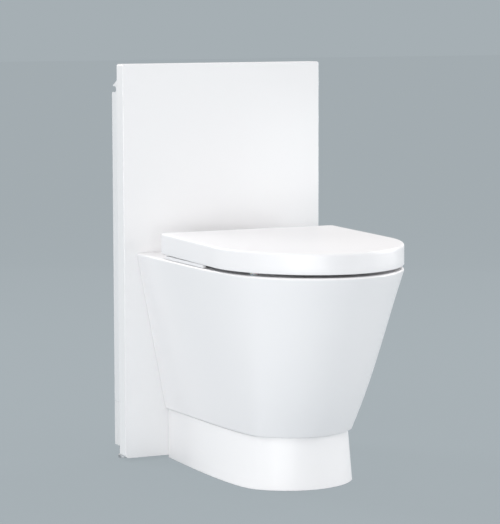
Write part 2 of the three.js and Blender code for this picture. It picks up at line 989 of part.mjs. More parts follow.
function tankParts() {
  const t = tank;
  const half = tankHalfWidth;
  let made = block(-half, half, t.front, t.back, t.low, t.high).subtract(
    block(
      -half + t.wall,
      half - t.wall,
      t.front + t.wall,
      t.back - t.wall,
      t.low + t.wall,
      t.high + overrun,
    ),
  );
  const frameBack = panelDepth + frameDepth + gap;
  for (const [, side] of sides) {
    const ear = [side * (half - t.wall), side * (half + t.earReach)];
    made = made.add(block(...ear, frameBack, frameBack + t.ear, earLow, earLow + t.earHeight));
  }
  const through = [t.low - overrun, t.low + t.wall + overrun];
  made = made.subtract(hole("z", flushValve.tailRadius + slideGap, ...through, { y: valveY }));
  const fillAt = { x: fillX, y: valveY };
  made = made.subtract(hole("z", fillValve.shankRadius + slideGap, ...through, fillAt));
  add("cistern_tank", made, "tank");

  const out = gap + tankLid.lip;
  const lidBlock = block(
    -half - out,
    half + out,
    t.front - out,
    t.back + out,
    t.high - tankLid.lipDepth,
    t.high + gap + tankLid.sheet,
  );
  const recess = block(
    -half - gap,
    half + gap,
    t.front - gap,
    t.back + gap,
    t.high - tankLid.lipDepth - overrun,
    t.high + gap,
  );
  const opening = block(
    -housing.halfWidth - slideGap,
    housing.halfWidth + slideGap,
    valveY - housing.halfDepth - slideGap,
    valveY + housing.halfDepth + slideGap,
    t.high - overrun,
    t.high + gap + tankLid.sheet + overrun,
  );
  add("tank_lid", lidBlock.subtract(recess).subtract(opening), "tank");
}

const lidTop = tank.high + gap + tankLid.sheet;
const housingTop = lidTop + gap + housing.flangeHeight;
const wellFloor = lidTop + gap - housing.depth + housing.floor;
const buttonTop = housingTop + button.proud;
const buttonLow = buttonTop - button.height;
const cageTop = tank.high - flushValve.cageDrop;
const pivotZ = cageTop + rocker.pivotRise;
const rodLow = pivotZ + rocker.half + rocker.lowerReach + gap;

function buttonWell(side, grow) {
  return [
    side * (housing.rib + grow),
    side * (housing.halfWidth - housing.wall - grow),
    valveY - housing.halfDepth + housing.wall + grow,
    valveY + housing.halfDepth - housing.wall - grow,
  ];
}

function buttonParts() {
  const h = housing;
  const low = lidTop + gap - h.depth;
  let made = block(-h.halfWidth, h.halfWidth, valveY - h.halfDepth, valveY + h.halfDepth, low, housingTop);
  const flangeX = h.halfWidth + h.flange;
  const flangeY = h.halfDepth + h.flange;
  made = made.add(block(-flangeX, flangeX, valveY - flangeY, valveY + flangeY, lidTop + gap, housingTop));
  const rods = [[1, button.fullRodX, "full"], [-1, -button.halfRodX, "half"]];
  for (const [side, rodX, word] of rods) {
    const at = { x: rodX, y: valveY };
    made = made.subtract(block(...buttonWell(side, 0), wellFloor, housingTop + overrun));
    made = made.subtract(hole("z", button.rodRadius + slideGap, low - overrun, wellFloor + overrun, at));
    const cap = block(...buttonWell(side, slideGap), buttonLow, buttonTop);
    const rod = bar("z", button.rodRadius, rodLow, buttonLow + overrun, at, smallCount);
    add(`${word}_flush_button`, cap.add(rod), "chrome");
    const ends = [wellFloor + gap, buttonLow - gap];
    const coil = pipe("z", spring.outerRadius, spring.innerRadius, ...ends, at, smallCount);
    add(`${word}_button_spring`, coil, "steel");
  }
  add("button_housing", made, "chrome");
}

// Flush valve

const tankFloor = tank.low + tank.wall;
const flangeLow = tankFloor + gap + flushValve.gasket + gap;
const flangeHigh = flangeLow + flushValve.flange;
const valveLip = flangeHigh + flushValve.lip;

function flushValveParts() {
  const v = flushValve;
  const at = { x: 0, y: valveY };
  const tailBore = holeRadius(bend.radius + gap);
  const tailLow = tank.low - v.tailDrop;
  let cage = turnedSolid(
    "z",
    [
      [tailBore, tailLow],
      [v.tailRadius, tailLow],
      [v.tailRadius, flangeLow],
      [v.flangeRadius, flangeLow],
      [v.flangeRadius, flangeHigh],
      [v.lipRadius, flangeHigh],
      [v.lipRadius, valveLip],
      [tailBore, valveLip],
    ],
    at,
  );
  const legs = [[1, 1], [1, -1], [-1, 1], [-1, -1]];
  for (const [alongX, alongY] of legs) {
    const x = (alongX * v.legRadius) / Math.SQRT2;
    const y = valveY + (alongY * v.legRadius) / Math.SQRT2;
    const half = v.legSize / 2;
    cage = cage.add(block(x - half, x + half, y - half, y + half, flangeHigh - overrun / 2, cageTop - half));
  }
  cage = cage.add(pipe("z", v.flangeRadius, v.tubeRadius + v.guide, cageTop - v.cageTop, cageTop, at));
  const r = rocker;
  for (const [, side] of sides) {
    const ear = block(
      r.pivotX - r.earHalfLength,
      r.pivotX + r.earHalfLength,
      valveY + side * (r.halfDepth + gap),
      valveY + side * (r.halfDepth + gap + r.earSheet),
      cageTop - overrun / 2,
      pivotZ + r.earTop,
    );
    cage = cage.add(ear);
  }
  const pinEnd = r.halfDepth + gap + r.earSheet;
  const pinAt = { x: r.pivotX, z: pivotZ };
  const through = [valveY - pinEnd - overrun, valveY + pinEnd + overrun];
  const earBore = hole("y", r.boreRadius, ...through, pinAt, smallCount);
  add("flush_valve_cage", cage.subtract(earBore), "moulding");
  add("rocker_pin", bar("y", r.pinRadius, valveY - pinEnd, valveY + pinEnd, pinAt, smallCount), "steel");

  const rockerBar = block(
    r.pivotX - r.tubeArm,
    r.pivotX + r.rodArm,
    valveY - r.halfDepth,
    valveY + r.halfDepth,
    pivotZ - r.half,
    pivotZ + r.half,
  );
  const boss = bar("y", r.bossRadius, valveY - r.halfDepth, valveY + r.halfDepth, pinAt);
  const rockerSolid = rockerBar.add(boss).subtract(earBore);
  // The tube passes beside the arm's end, so the end is cut back round it.
  const tubeWay = bar("z", v.tubeRadius + slideGap, pivotZ - r.rodArm, pivotZ + r.rodArm, at);
  add("lift_rocker", rockerSolid.subtract(tubeWay), "moulding");

  const gasketAt = tankFloor + gap;
  const gasketBore = v.tailRadius + 2 * slideGap;
  const gasket = pipe("z", v.flangeRadius - gap, gasketBore, gasketAt, gasketAt + v.gasket, at);
  add("outlet_gasket", gasket, "rubber");
  const nutHigh = tank.low - gap;
  const nut = pipe("z", v.nutRadius, v.tailRadius + gap, nutHigh - v.nut, nutHigh, at, smallCount);
  add("tank_outlet_nut", nut, "moulding");

  const sealLow = valveLip + gap;
  const sealHigh = sealLow + v.seal;
  const seal = pipe("z", v.tubeFootRadius + v.legSize, v.tubeRadius, sealLow, sealHigh, at);
  add("valve_seal", seal, "rubber");
  const footLow = sealHigh + gap;
  const collarLow = rodLow;
  const tubeHigh = tank.high - v.tubeDrop;
  const tube = turnedSolid(
    "z",
    [
      [v.tubeBore, footLow],
      [v.tubeFootRadius, footLow],
      [v.tubeFootRadius, footLow + v.tubeFoot],
      [v.tubeRadius, footLow + v.tubeFoot],
      [v.tubeRadius, collarLow],
      [v.collarRadius, collarLow],
      [v.collarRadius, collarLow + v.collar],
      [v.tubeRadius, collarLow + v.collar],
      [v.tubeRadius, tubeHigh],
      [v.tubeBore, tubeHigh],
    ],
    at,
  );
  add("overflow_tube", tube, "moulding");
}

// Fill valve

function fillValveParts() {
  const f = fillValve;
  const at = { x: fillX, y: valveY };
  const flangeZ = tankFloor + gap;
  const headLow = fillHigh - f.head;
  const leverZ = fillHigh - f.leverDrop;
  const pivotX = fillX - f.leverPivot;
  const pivotAt = { x: pivotX, z: leverZ };
  const earOut = f.leverHalfDepth + gap + f.earSheet;
  let body = bar("z", f.shankRadius, shankLow, flangeZ + overrun, at)
    .add(bar("z", f.flangeRadius, flangeZ, flangeZ + f.flange, at))
    .add(bar("z", f.columnRadius, flangeZ + overrun, headLow + overrun, at))
    .add(bar("z", f.headRadius, headLow, fillHigh, at));
  for (const [, side] of sides) {
    const near = valveY + side * (f.leverHalfDepth + gap);
    const far = valveY + side * earOut;
    const ear = [pivotX - f.earHalf, fillX, near, far, leverZ - f.earHalf, leverZ + f.earHalf];
    body = body.add(block(...ear));
  }
  body = body.add(bar("y", f.pivotRadius, valveY - earOut, valveY + earOut, pivotAt, smallCount));
  add("fill_valve_body", body, "moulding");

  const lowest = pivotX - f.leverLength - f.leverPast;
  const depths = [valveY - f.leverHalfDepth, valveY + f.leverHalfDepth];
  const cuts = [valveY - earOut, valveY + earOut];
  // The float's pin keeps its x, so the slot is as long as the lever's reach to it grows.
  const grown = Math.hypot(f.leverLength, float.travel);
  const play = float.pinRadius + float.slotPlay;
  const slot = [pivotX - grown - play, pivotX - f.leverLength + play, ...cuts, leverZ - play, leverZ + play];
  const lever = block(lowest, pivotX, ...depths, leverZ - f.leverHalf, leverZ + f.leverHalf)
    .add(bar("y", f.leverHalf, ...depths, pivotAt))
    .subtract(hole("y", f.pivotRadius + gap, ...cuts, pivotAt, smallCount))
    .subtract(block(...slot));
  add("float_lever", lever, "moulding");

  const floatHigh = fillHigh - float.drop;
  const floatLow = floatHigh - tankHeight * float.heightShare;
  const postX = pivotX - f.leverLength;
  const armLow = floatHigh - float.armHeight;
  let cup = pipe("z", float.radius, f.columnRadius + float.guide, floatLow, floatHigh, at);
  let outermost = 0;
  for (const [, side] of sides) {
    const near = valveY + side * (f.leverHalfDepth + float.postGap);
    const far = near + side * float.postSheet;
    outermost = Math.abs(far - valveY);
    const post = [postX - float.postHalf, postX + float.postHalf, near, far];
    cup = cup.add(block(...post, armLow, leverZ + float.postHalf));
    const arm = [postX, fillX - f.headRadius - float.postHalf, near, far];
    cup = cup.add(block(...arm, armLow, floatHigh));
  }
  const pinAt = { x: postX, z: leverZ };
  cup = cup.add(bar("y", float.pinRadius, valveY - outermost, valveY + outermost, pinAt, smallCount));
  add("float_cup", cup, "moulding");

  const nutHigh = tank.low - gap;
  const nut = pipe("z", f.nutRadius, f.shankRadius + gap, nutHigh - f.nut, nutHigh, at, hexCount);
  add("fill_valve_locknut", nut, "moulding");
}

// Supply

function supplyParts() {
  const s = stopValve;
  const upAt = { x: stopX, y: s.y };
  const outAt = { x: stopX, z: stopZ };
  const sideAt = { y: s.y, z: stopZ };
  const top = stopZ + s.bodyRise;
  const plateBack = panelDepth + plate.offset + plate.depth;
  const valve = bar("z", s.bodyRadius, stopZ - s.bodyDrop, top, upAt)
    .add(bar("y", s.pipeRadius, plateBack + gap, wallReach, outAt))
    .add(bar("y", s.roseRadius, wallReach - s.rose, wallReach, outAt))
    .add(bar("x", s.spindleRadius, stopX, stopX + s.bodyRadius + s.spindle, sideAt, smallCount))
    .subtract(hole("y", s.pipeBore, s.y, wallReach + overrun, outAt))
    .subtract(hole("z", s.pipeBore, stopZ, top + overrun, upAt));
  add("stop_valve", valve, "chrome");

  const near = stopX + s.bodyRadius + 2 * gap;
  const through = [near - overrun, near + s.handle + overrun];
  const handle = bar("x", s.handleHalf + s.spindleRadius, near, near + s.handle, sideAt)
    .add(
      block(
        near,
        near + s.handle,
        s.y - s.handleHalf,
        s.y + s.handleHalf,
        stopZ - s.handleLength,
        stopZ,
      ),
    )
    .subtract(hole("x", s.spindleRadius + gap, ...through, sideAt, smallCount));
  add("stop_valve_handle", handle, "chrome");

  const shankEnd = new THREE.Vector3(fillX, valveY, shankLow - gap);
  const valveEnd = new THREE.Vector3(stopX, s.y, top + gap);
  const path = new THREE.CurvePath();
  const low = shankEnd.clone().setZ(shankEnd.z - hose.straight);
  const high = valveEnd.clone().setZ(valveEnd.z + hose.straight);
  const pull = (low.z - high.z) / 2;
  path.add(new THREE.LineCurve3(shankEnd, low));
  const lowPull = low.clone().setZ(low.z - pull);
  const highPull = high.clone().setZ(high.z + pull);
  path.add(new THREE.CubicBezierCurve3(low, lowPull, highPull, high));
  path.add(new THREE.LineCurve3(high, valveEnd));
  add("supply_hose", sweptTube(path, hose.radius, hose.stepCount, hoseCount), "steel");
}

// Seat and lid

function hingeParts() {
  const h = hinge;
  const axisAt = { y: -h.distance, z: hingeHeight };
  for (const [word, side] of sides) {
    const upAt = { x: side * h.x, y: -h.distance };
    const baseLow = rimHeight + gap;
    const postSolid = bar("z", h.baseRadius, baseLow, baseLow + h.base, upAt)
      .add(
        block(
          side * (h.x - h.postHalf),
          side * (h.x + h.postHalf),
          -h.distance - h.postHalfDepth,
          -h.distance + h.postHalfDepth,
          baseLow + h.base / 2,
          hingeHeight,
        ),
      )
      .add(bar("x", h.postTop, side * (h.x - h.postHalf), side * (h.x + h.postHalf), axisAt))
      .add(bar("z", h.boltRadius, rimHeight - h.boltReach, baseLow + h.base / 2, upAt))
      .subtract(hole("x", h.boreRadius, side * (h.x - h.baseRadius), side * (h.x + h.baseRadius), axisAt));
    add(`hinge_post_${word}`, postSolid, "chrome");

    const pinNear = h.x - h.postHalf - h.side - h.knuckle;
    const pinFar = h.x + h.postHalf + h.side + h.knuckle;
    add(`hinge_pin_${word}`, bar("x", h.pinRadius, side * pinNear, side * pinFar, axisAt), "steel");

    const nutHigh = rimHeight - bowl.deck - gap;
    const nut = pipe("z", h.nutRadius, h.boltRadius + gap, nutHigh - h.nut, nutHigh, upAt, hexCount);
    add(`hinge_nut_${word}`, nut, "moulding");

    const damperEnd = side * (pinNear - gap);
    const damper = bar("x", h.damperRadius, damperEnd, damperEnd - side * h.damperLength, axisAt);
    add(`damper_${word}`, damper, "moulding");
  }
}

const lidOutline = {
  back: lid.back,
  halfBack: lid.half,
  half: lid.half,
  shoulder: lid.shoulder,
  tip: lid.tip,
  cornerShare: lid.cornerShare,
};

function lidHeight(x, y) {
  const share = (-y - lid.back) / (lid.tip - lid.back);
  return rimHeight + lid.backTopRise + (lid.frontTopRise - lid.backTopRise) * share;
}

function lidSolid() {
  const outer = loft([
    { points: outlinePoints(lidOutline), height: lidLow },
    ...roundedTop(lidOutline, lidHeight, lid.edge, 1),
  ]);
  const cavity = inset(lidOutline, lid.wall);
  let made = outer.subtract(
    loft([
      { points: outlinePoints(cavity), height: lidLow - overrun },
      { points: outlinePoints(cavity), height: lidCeiling },
    ]),
  );
  const open = lid.backOpening;
  made = made.subtract(
    block(-open, open, -lid.back - 2 * lid.wall, -lid.back + overrun, lidLow - overrun, lidCeiling),
  );
  const h = hinge;
  const axisAt = { y: -h.distance, z: hingeHeight };
  for (const [, side] of sides) {
    const near = side * (h.x + h.postHalf + h.side);
    const far = side * (h.x + h.postHalf + h.side + h.knuckle);
    const knuckle = bar("x", h.knuckleRadius, near, far, axisAt)
      .add(
        block(
          near,
          far,
          -h.distance - h.knuckleRadius,
          -h.distance + h.knuckleRadius,
          hingeHeight,
          lidCeiling + overrun,
        ),
      )
      .subtract(hole("x", h.boreRadius, near - side * overrun, far + side * overrun, axisAt));
    made = made.add(knuckle);
  }
  return made;
}

const seatOutline = { ...inset(lidOutline, lid.wall + seat.sideGap), back: seat.back };

function seatSolid() {
  const s = seat;
  let made = loft([
    { points: outlinePoints(seatOutline), height: seatLow },
    ...roundedTop(seatOutline, seatHigh, s.edge, 1),
  ]);
  const centre = basin.centre + s.holeForward;
  const halfWidth = basin.halfWidth - s.holeSideInset;
  const halfLength = basin.halfLength - s.holeEndInset;
  const mouth = roundedMouth(centre, halfWidth, halfLength, seatHigh, s.holeEdge);
  made = made.subtract(loft([{ points: mouth[0].points, height: seatLow - overrun }, ...mouth]));
  const h = hinge;
  const axisAt = { y: -h.distance, z: hingeHeight };
  const lipEnds = [-lid.shoulder * s.lipEndShare, -lid.shoulder * s.lipStartShare];
  const lipLow = rimHeight + s.lipLowRise;
  for (const [, side] of sides) {
    const lipInner = side * (seatOutline.half - s.lipDepth);
    made = made.add(block(lipInner, side * seatOutline.half, ...lipEnds, lipLow, seatLow + overrun));
    const lipOuter = side * (lid.half - s.lipInset);
    made = made.add(block(lipInner, lipOuter, ...lipEnds, lipLow, rimHeight + s.lipHighRise));

    const near = side * (h.x - h.postHalf - h.side);
    const far = side * (h.x - h.postHalf - h.side - h.knuckle);
    const arm = block(
      near,
      far,
      -s.back - h.knuckleRadius,
      -h.distance,
      hingeHeight - h.knuckleRadius,
      rimHeight + s.armHighRise - s.edge,
    );
    const knuckle = bar("x", h.knuckleRadius, near, far, axisAt)
      .add(arm)
      .subtract(hole("x", h.boreRadius, near + side * overrun, far - side * overrun, axisAt));
    made = made.add(knuckle);
  }
  return made;
}

function bufferParts() {
  const b = buffer;
  const places = [
    ["rear", b.rearSideInset, bowlReach * b.rearShare],
    ["front", b.frontSideInset, bowlReach - b.frontInset],
  ];
  for (const [end, sideInset, distance] of places) {
    for (const [word, side] of sides) {
      const at = { x: side * (rimHalfWidth - sideInset), y: -distance };
      const pad = bar("z", b.radius, rimHeight + gap, seatLow - gap, at, smallCount);
      add(`seat_buffer_${end}_${word}`, pad, "clearRubber");
    }
  }
  const lidPadAt = { y: b.lidInset - bowlReach };
  const lidPad = bar("z", b.radius, seatHigh + gap, lidCeiling - gap, lidPadAt, smallCount);
  add("lid_buffer", lidPad, "clearRubber");
}

frontPanel();
add("bowl", bowlSolid(), "glaze");
add("plinth", plinthSolid(), "glaze");
floorScrews();
frameUprights();
carrierPlate();
wallBrackets();
panelClips();
bowlStuds();
wasteParts();
flushPipe();
tankParts();
buttonParts();
flushValveParts();
fillValveParts();
supplyParts();
hingeParts();
add("seat_ring", seatSolid(), "gloss");
add("lid", lidSolid(), "gloss");
bufferParts();

export default model;
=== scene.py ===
import json
from math import cos, pi, radians, sin

import bmesh
import bpy
from mathutils import Matrix, Vector

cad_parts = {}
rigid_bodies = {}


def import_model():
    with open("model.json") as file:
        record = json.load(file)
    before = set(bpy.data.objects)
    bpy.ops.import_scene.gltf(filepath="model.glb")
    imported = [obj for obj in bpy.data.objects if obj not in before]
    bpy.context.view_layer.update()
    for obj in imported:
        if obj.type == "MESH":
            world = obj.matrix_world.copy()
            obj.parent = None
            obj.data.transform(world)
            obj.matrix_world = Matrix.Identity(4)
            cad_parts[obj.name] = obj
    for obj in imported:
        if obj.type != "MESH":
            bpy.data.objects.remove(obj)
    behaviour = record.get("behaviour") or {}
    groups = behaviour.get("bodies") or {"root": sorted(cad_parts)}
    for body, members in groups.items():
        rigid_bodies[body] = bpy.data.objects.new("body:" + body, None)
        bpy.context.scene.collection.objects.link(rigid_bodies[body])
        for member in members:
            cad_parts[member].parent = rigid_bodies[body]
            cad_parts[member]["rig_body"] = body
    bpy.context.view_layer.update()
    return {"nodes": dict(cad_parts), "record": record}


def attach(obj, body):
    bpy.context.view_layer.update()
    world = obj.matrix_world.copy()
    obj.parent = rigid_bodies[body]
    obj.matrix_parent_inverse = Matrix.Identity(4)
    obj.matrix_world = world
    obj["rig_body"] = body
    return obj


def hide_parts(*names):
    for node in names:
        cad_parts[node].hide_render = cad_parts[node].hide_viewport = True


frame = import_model()
scene = bpy.context.scene
nodes = frame["nodes"]
bodyOf = {name: node["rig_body"] for name, node in nodes.items()}
slotOf = {entry["node"]: entry["material_slot"] for entry in frame["record"]["subparts"]}

# Metres. The wall side is +Y, the user's side -Y. Plans of the bowl, plinth, seat and lid
# are given as distances forward from the front face of the panel.
panelFace = 0.226

easingReach = 12  # how many columns to each side of a shoulder are eased
barEndAngle = 1.2  # radians; only the edges round a bar's ends turn further
cutterSides = 48


def planSteps(rearShares, cornerCount, sideCount, frontCount):
    # one place on a D-shaped plan per column, from the middle of the back, round by the left
    left = [("rear", share) for share in rearShares]
    left += [("corner", i / cornerCount) for i in range(cornerCount)]
    left += [("side", i / sideCount) for i in range(sideCount)]
    left += [("front", i / frontCount) for i in range(frontCount)]
    steps = [(part, share, -1) for part, share in left]
    steps.append(("front", 1.0, -1))
    steps += [(part, share, 1) for part, share in reversed(left[1:])]
    return steps


def planPoint(plan, step, inset=0.0, backInset=None):
    part, share, side = step
    back = plan["back"] + (inset if backInset is None else backInset)
    halfBack, half, tip = (plan[key] - inset for key in ("halfBack", "half", "tip"))
    corner = plan["corner"]
    if part == "rear":
        x, out = (halfBack - corner) * share, back
    elif part == "corner":
        turn = share * pi / 2
        x = halfBack - corner + corner * sin(turn)
        out = back + corner - corner * cos(turn)
    elif part == "side":
        x = halfBack + (half - halfBack) * share
        out = back + corner + (plan["shoulder"] - back - corner) * share
    else:
        turn = share * pi / 2
        x = half * max(cos(turn), 0.0) ** (2 / plan["fullness"])
        out = plan["shoulder"] + (tip - plan["shoulder"]) * sin(turn) ** (2 / plan["fullness"])
    return side * x, panelFace - out


def planRing(plan, steps, height, inset=0.0, backInset=None):
    ring = []
    for step in steps:
        x, y = planPoint(plan, step, inset, backInset)
        ring.append(Vector((x, y, height(x, y) if callable(height) else height)))
    return ring


def ovalRing(count, centreY, centreZ, pitch, halfWidth, halfLength):
    # pitch is how far the ring's top has swung back from level, in degrees
    lean = radians(pitch)
    ring = []
    for i in range(count):
        turn = 2 * pi * i / count
        along = halfLength * cos(turn)
        ring.append(Vector((
            -halfWidth * sin(turn), centreY + along * cos(lean), centreZ + along * sin(lean))))
    return ring


def mixRings(a, b, share):
    return [p.lerp(q, share) for p, q in zip(a, b)]


def easeShoulders(ring, steps, passes):
    # turns the straight sides gently into the front curve, as slip-cast ware does
    count = len(ring)
    joins = [i for i, (part, share, _) in enumerate(steps) if part == "front" and share == 0]
    pull = {}
    for join in joins:
        for i in range(join - easingReach, join + easingReach + 1):
            pull[i % count] = cos((i - join) / easingReach * pi / 2) ** 2
    for _ in range(passes):
        moved = {i: ring[i].lerp((ring[i - 1] + ring[(i + 1) % count]) / 2, share)
                 for i, share in pull.items()}
        for i, place in moved.items():
            ring[i].xy = place.xy
    return ring


def smoothRows(rows, pieces):
    # rows of numbers, joined by one smooth curve through all of them
    out = []
    for i in range(len(rows) - 1):
        before, here, there, after = (
            rows[max(i - 1, 0)], rows[i], rows[i + 1], rows[min(i + 2, len(rows) - 1)])
        for k in range(pieces):
            t = k / pieces
            out.append([
                0.5 * (2 * b + (c - a) * t + (2 * a - 5 * b + 4 * c - d) * t * t
                       + (3 * b - 3 * c + d - a) * t ** 3)
                for a, b, c, d in zip(before, here, there, after)])
    out.append(list(rows[-1]))
    return out


def quarter(count):
    # how far a rounded edge has come in and gone up, both from 0 to 1
    return [(1 - cos(i / count * pi / 2), sin(i / count * pi / 2)) for i in range(count + 1)]


def moveRing(ring, places):
    for vert, place in zip(ring, places):
        vert.co = place


def startRing(bm, places):
    ring = list(bmesh.ops.create_circle(bm, segments=len(places), radius=1.0)["verts"])
    moveRing(ring, places)
    return ring


def ringEdges(ring):
    inRing = set(ring)
    return list({e for v in ring for e in v.link_edges if e.other_vert(v) in inRing})


def nextRing(bm, ring, places):
    made = bmesh.ops.extrude_edge_only(bm, edges=ringEdges(ring))["geom"]
    fresh = {g for g in made if isinstance(g, bmesh.types.BMVert)}
    ring = [next(e.other_vert(v) for e in v.link_edges if e.other_vert(v) in fresh) for v in ring]
    moveRing(ring, places)
    return ring


def loftThrough(bm, rings, closed=False, caps=False):
    first = last = startRing(bm, rings[0])
    for places in rings[1:]:
        last = nextRing(bm, last, places)
    if closed:
        bmesh.ops.bridge_loops(bm, edges=ringEdges(first) + ringEdges(last))
    if caps:
        for ring in (first, last):
            face = bmesh.ops.contextual_create(bm, geom=ring)["faces"]
            bmesh.ops.poke(bm, faces=face)


def roundEdges(bm, edges, offset, segments=2, clamp=False):
    bmesh.ops.bevel(bm, geom=edges, offset=offset, segments=segments, profile=0.5,
                    affect="EDGES", material=-1, clamp_overlap=clamp)


def addBar(bm, axis, radius, start, end, centre, sides, edge=0.0):
    # a round bar along x, y or z; centre gives its other two coordinates
    made = bmesh.ops.create_cone(
        bm, cap_ends=True, segments=sides, radius1=radius, radius2=radius,
        depth=abs(end - start))["verts"]
    if axis == "x":
        bmesh.ops.rotate(bm, verts=made, matrix=Matrix.Rotation(pi / 2, 3, "Y"))
    elif axis == "y":
        bmesh.ops.rotate(bm, verts=made, matrix=Matrix.Rotation(pi / 2, 3, "X"))
    middle = (start + end) / 2
    spot = {"x": (middle, *centre), "y": (centre[0], middle, centre[1]), "z": (*centre, middle)}
    bmesh.ops.translate(bm, verts=made, vec=spot[axis])
    if edge:
        around = {e for v in made for e in v.link_edges}
        roundEdges(bm, [e for e in around if e.calc_face_angle(0) > barEndAngle], edge)


def plainBlock(bm, low, high):
    made = bmesh.ops.create_cube(bm, size=1.0)["verts"]
    bmesh.ops.scale(bm, verts=made, vec=[h - l for l, h in zip(low, high)])
    bmesh.ops.translate(bm, verts=made, vec=[(l + h) / 2 for l, h in zip(low, high)])
    return made


def addBlock(bm, low, high, edge, segments=2):
    made = plainBlock(bm, low, high)
    roundEdges(bm, list({e for v in made for e in v.link_edges}), edge, segments)


def newPiece(name, bm, node, sharpAngle):
    # stands for one solid: it rides with the solid's body and takes its slot's finish
    bmesh.ops.recalc_face_normals(bm, faces=bm.faces)
    mesh = bpy.data.meshes.new(name)
    bm.to_mesh(mesh)
    bm.free()
    mesh.polygons.foreach_set("use_smooth", [True] * len(mesh.polygons))
    mesh.set_sharp_from_angle(angle=radians(sharpAngle))
    mesh.materials.append(finishes[slotOf[node]])
    piece = bpy.data.objects.new(name, mesh)
    scene.collection.objects.link(piece)
    weighted = piece.modifiers.new("evenNormals", "WEIGHTED_NORMAL")
    weighted.keep_sharp = True
    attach(piece, bodyOf[node])
    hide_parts(node)
    return piece


def cutHoles(bm, holes, wall=0.0):
    # a skin gets its wall first; holes are round bars (axis, radius, start, end, centre)
    bmesh.ops.recalc_face_normals(bm, faces=bm.faces)
    body = bpy.data.objects.new("cutBody", bpy.data.meshes.new("cutBody"))
    bm.to_mesh(body.data)
    if wall:
        thick = body.modifiers.new("wall", "SOLIDIFY")
        thick.thickness, thick.offset = wall, -1.0
    tool = bmesh.new()
    for hole in holes:
        addBar(tool, *hole, cutterSides)
    bmesh.ops.recalc_face_normals(tool, faces=tool.faces)
    cutter = bpy.data.objects.new("cutTool", bpy.data.meshes.new("cutTool"))
    tool.to_mesh(cutter.data)
    tool.free()
    for thing in (body, cutter):
        scene.collection.objects.link(thing)
    cut = body.modifiers.new("holes", "BOOLEAN")
    cut.operation = "DIFFERENCE"
    cut.solver = "EXACT"
    cut.object = cutter
    bpy.context.view_layer.update()
    shaped = body.evaluated_get(bpy.context.evaluated_depsgraph_get()).to_mesh()
    bm.clear()
    bm.from_mesh(shaped)
    for thing in (body, cutter):
        data = thing.data
        bpy.data.objects.remove(thing)
        bpy.data.meshes.remove(data)


def newGroup(name, inputs, outputs):
    # a group takes coordinates beside its own inputs, and gives plain numbers
    group = bpy.data.node_groups.new(name, "ShaderNodeTree")
    group.interface.new_socket("Coordinates", in_out="INPUT", socket_type="NodeSocketVector")
    for label, value in inputs.items():
        kind = "NodeSocketVector" if isinstance(value, tuple) else "NodeSocketFloat"
        socket = group.interface.new_socket(label, in_out="INPUT", socket_type=kind)
        socket.default_value = value
    for label in outputs:
        group.interface.new_socket(label, in_out="OUTPUT", socket_type="NodeSocketFloat")
    given, out = group.nodes.new("NodeGroupInput"), group.nodes.new("NodeGroupOutput")
    return group, given.outputs, out.inputs


def mathNode(tree, operation, *values):
    node = tree.nodes.new("ShaderNodeMath")
    node.operation = operation
    for socket, value in zip(node.inputs, values):
        if isinstance(value, float):
            socket.default_value = value
        else:
            tree.links.new(value, socket)
    return node.outputs[0]


def noiseNode(tree, vector, scale, detail=2.0, roughness=0.5):
    node = tree.nodes.new("ShaderNodeTexNoise")
    tree.links.new(vector, node.inputs["Vector"])
    tree.links.new(scale, node.inputs["Scale"])
    node.inputs["Detail"].default_value = detail
    node.inputs["Roughness"].default_value = roughness
    return node.outputs["Fac"]


def tintNode(tree, share, tone, otherTone):
    node = tree.nodes.new("ShaderNodeMix")
    node.data_type = "RGBA"
    tree.links.new(share, node.inputs[0])
    for socket, value in zip(node.inputs[6:8], (tone, otherTone)):  # the two colour sockets
        if isinstance(value, tuple):
            socket.default_value = (*value, 1)
        else:
            tree.links.new(value, socket)
    return node.outputs[2]


surfaceOutputs = ("Tone", "Height", "Dull")


def makeGlazeGroup():
    # fired glaze: slow pooling of the glaze, a faint orange peel and rare pinholes
    peelDepth, pitSize, pitDepth, pitDull = 0.12, 0.035, 0.25, 0.4
    group, given, out = newGroup(
        "glazeSurface", {"Pooling": 9.0, "Peel": 260.0, "Pinholes": 90.0}, surfaceOutputs)
    at = given["Coordinates"]
    pooling = noiseNode(group, at, given["Pooling"], detail=3.0, roughness=0.45)
    peel = noiseNode(group, at, given["Peel"], detail=1.5)
    cells = group.nodes.new("ShaderNodeTexVoronoi")
    group.links.new(at, cells.inputs["Vector"])
    group.links.new(given["Pinholes"], cells.inputs["Scale"])
    pit = mathNode(group, "LESS_THAN", cells.outputs["Distance"], pitSize)
    height = mathNode(group, "MULTIPLY_ADD", peel, peelDepth, pooling)
    height = mathNode(group, "SUBTRACT", height, mathNode(group, "MULTIPLY", pit, pitDepth))
    group.links.new(pooling, out["Tone"])
    group.links.new(height, out["Height"])
    group.links.new(mathNode(group, "MULTIPLY", pit, pitDull), out["Dull"])
    return group


def makeMouldGroup():
    # moulded or coated surface: fine grain over slow sink marks, with scuffs
    grainDepth, scuffContrast = 0.3, 3.0
    group, given, out = newGroup(
        "mouldSurface", {"Grain": 900.0, "Sink": 14.0, "Scuffs": 60.0}, surfaceOutputs)
    at = given["Coordinates"]
    sink = noiseNode(group, at, given["Sink"])
    grain = noiseNode(group, at, given["Grain"], roughness=0.6)
    scuff = noiseNode(group, at, given["Scuffs"], detail=4.0, roughness=0.7)
    group.links.new(sink, out["Tone"])
    group.links.new(mathNode(group, "MULTIPLY_ADD", grain, grainDepth, sink), out["Height"])
    group.links.new(mathNode(group, "POWER", scuff, scuffContrast), out["Dull"])
    return group


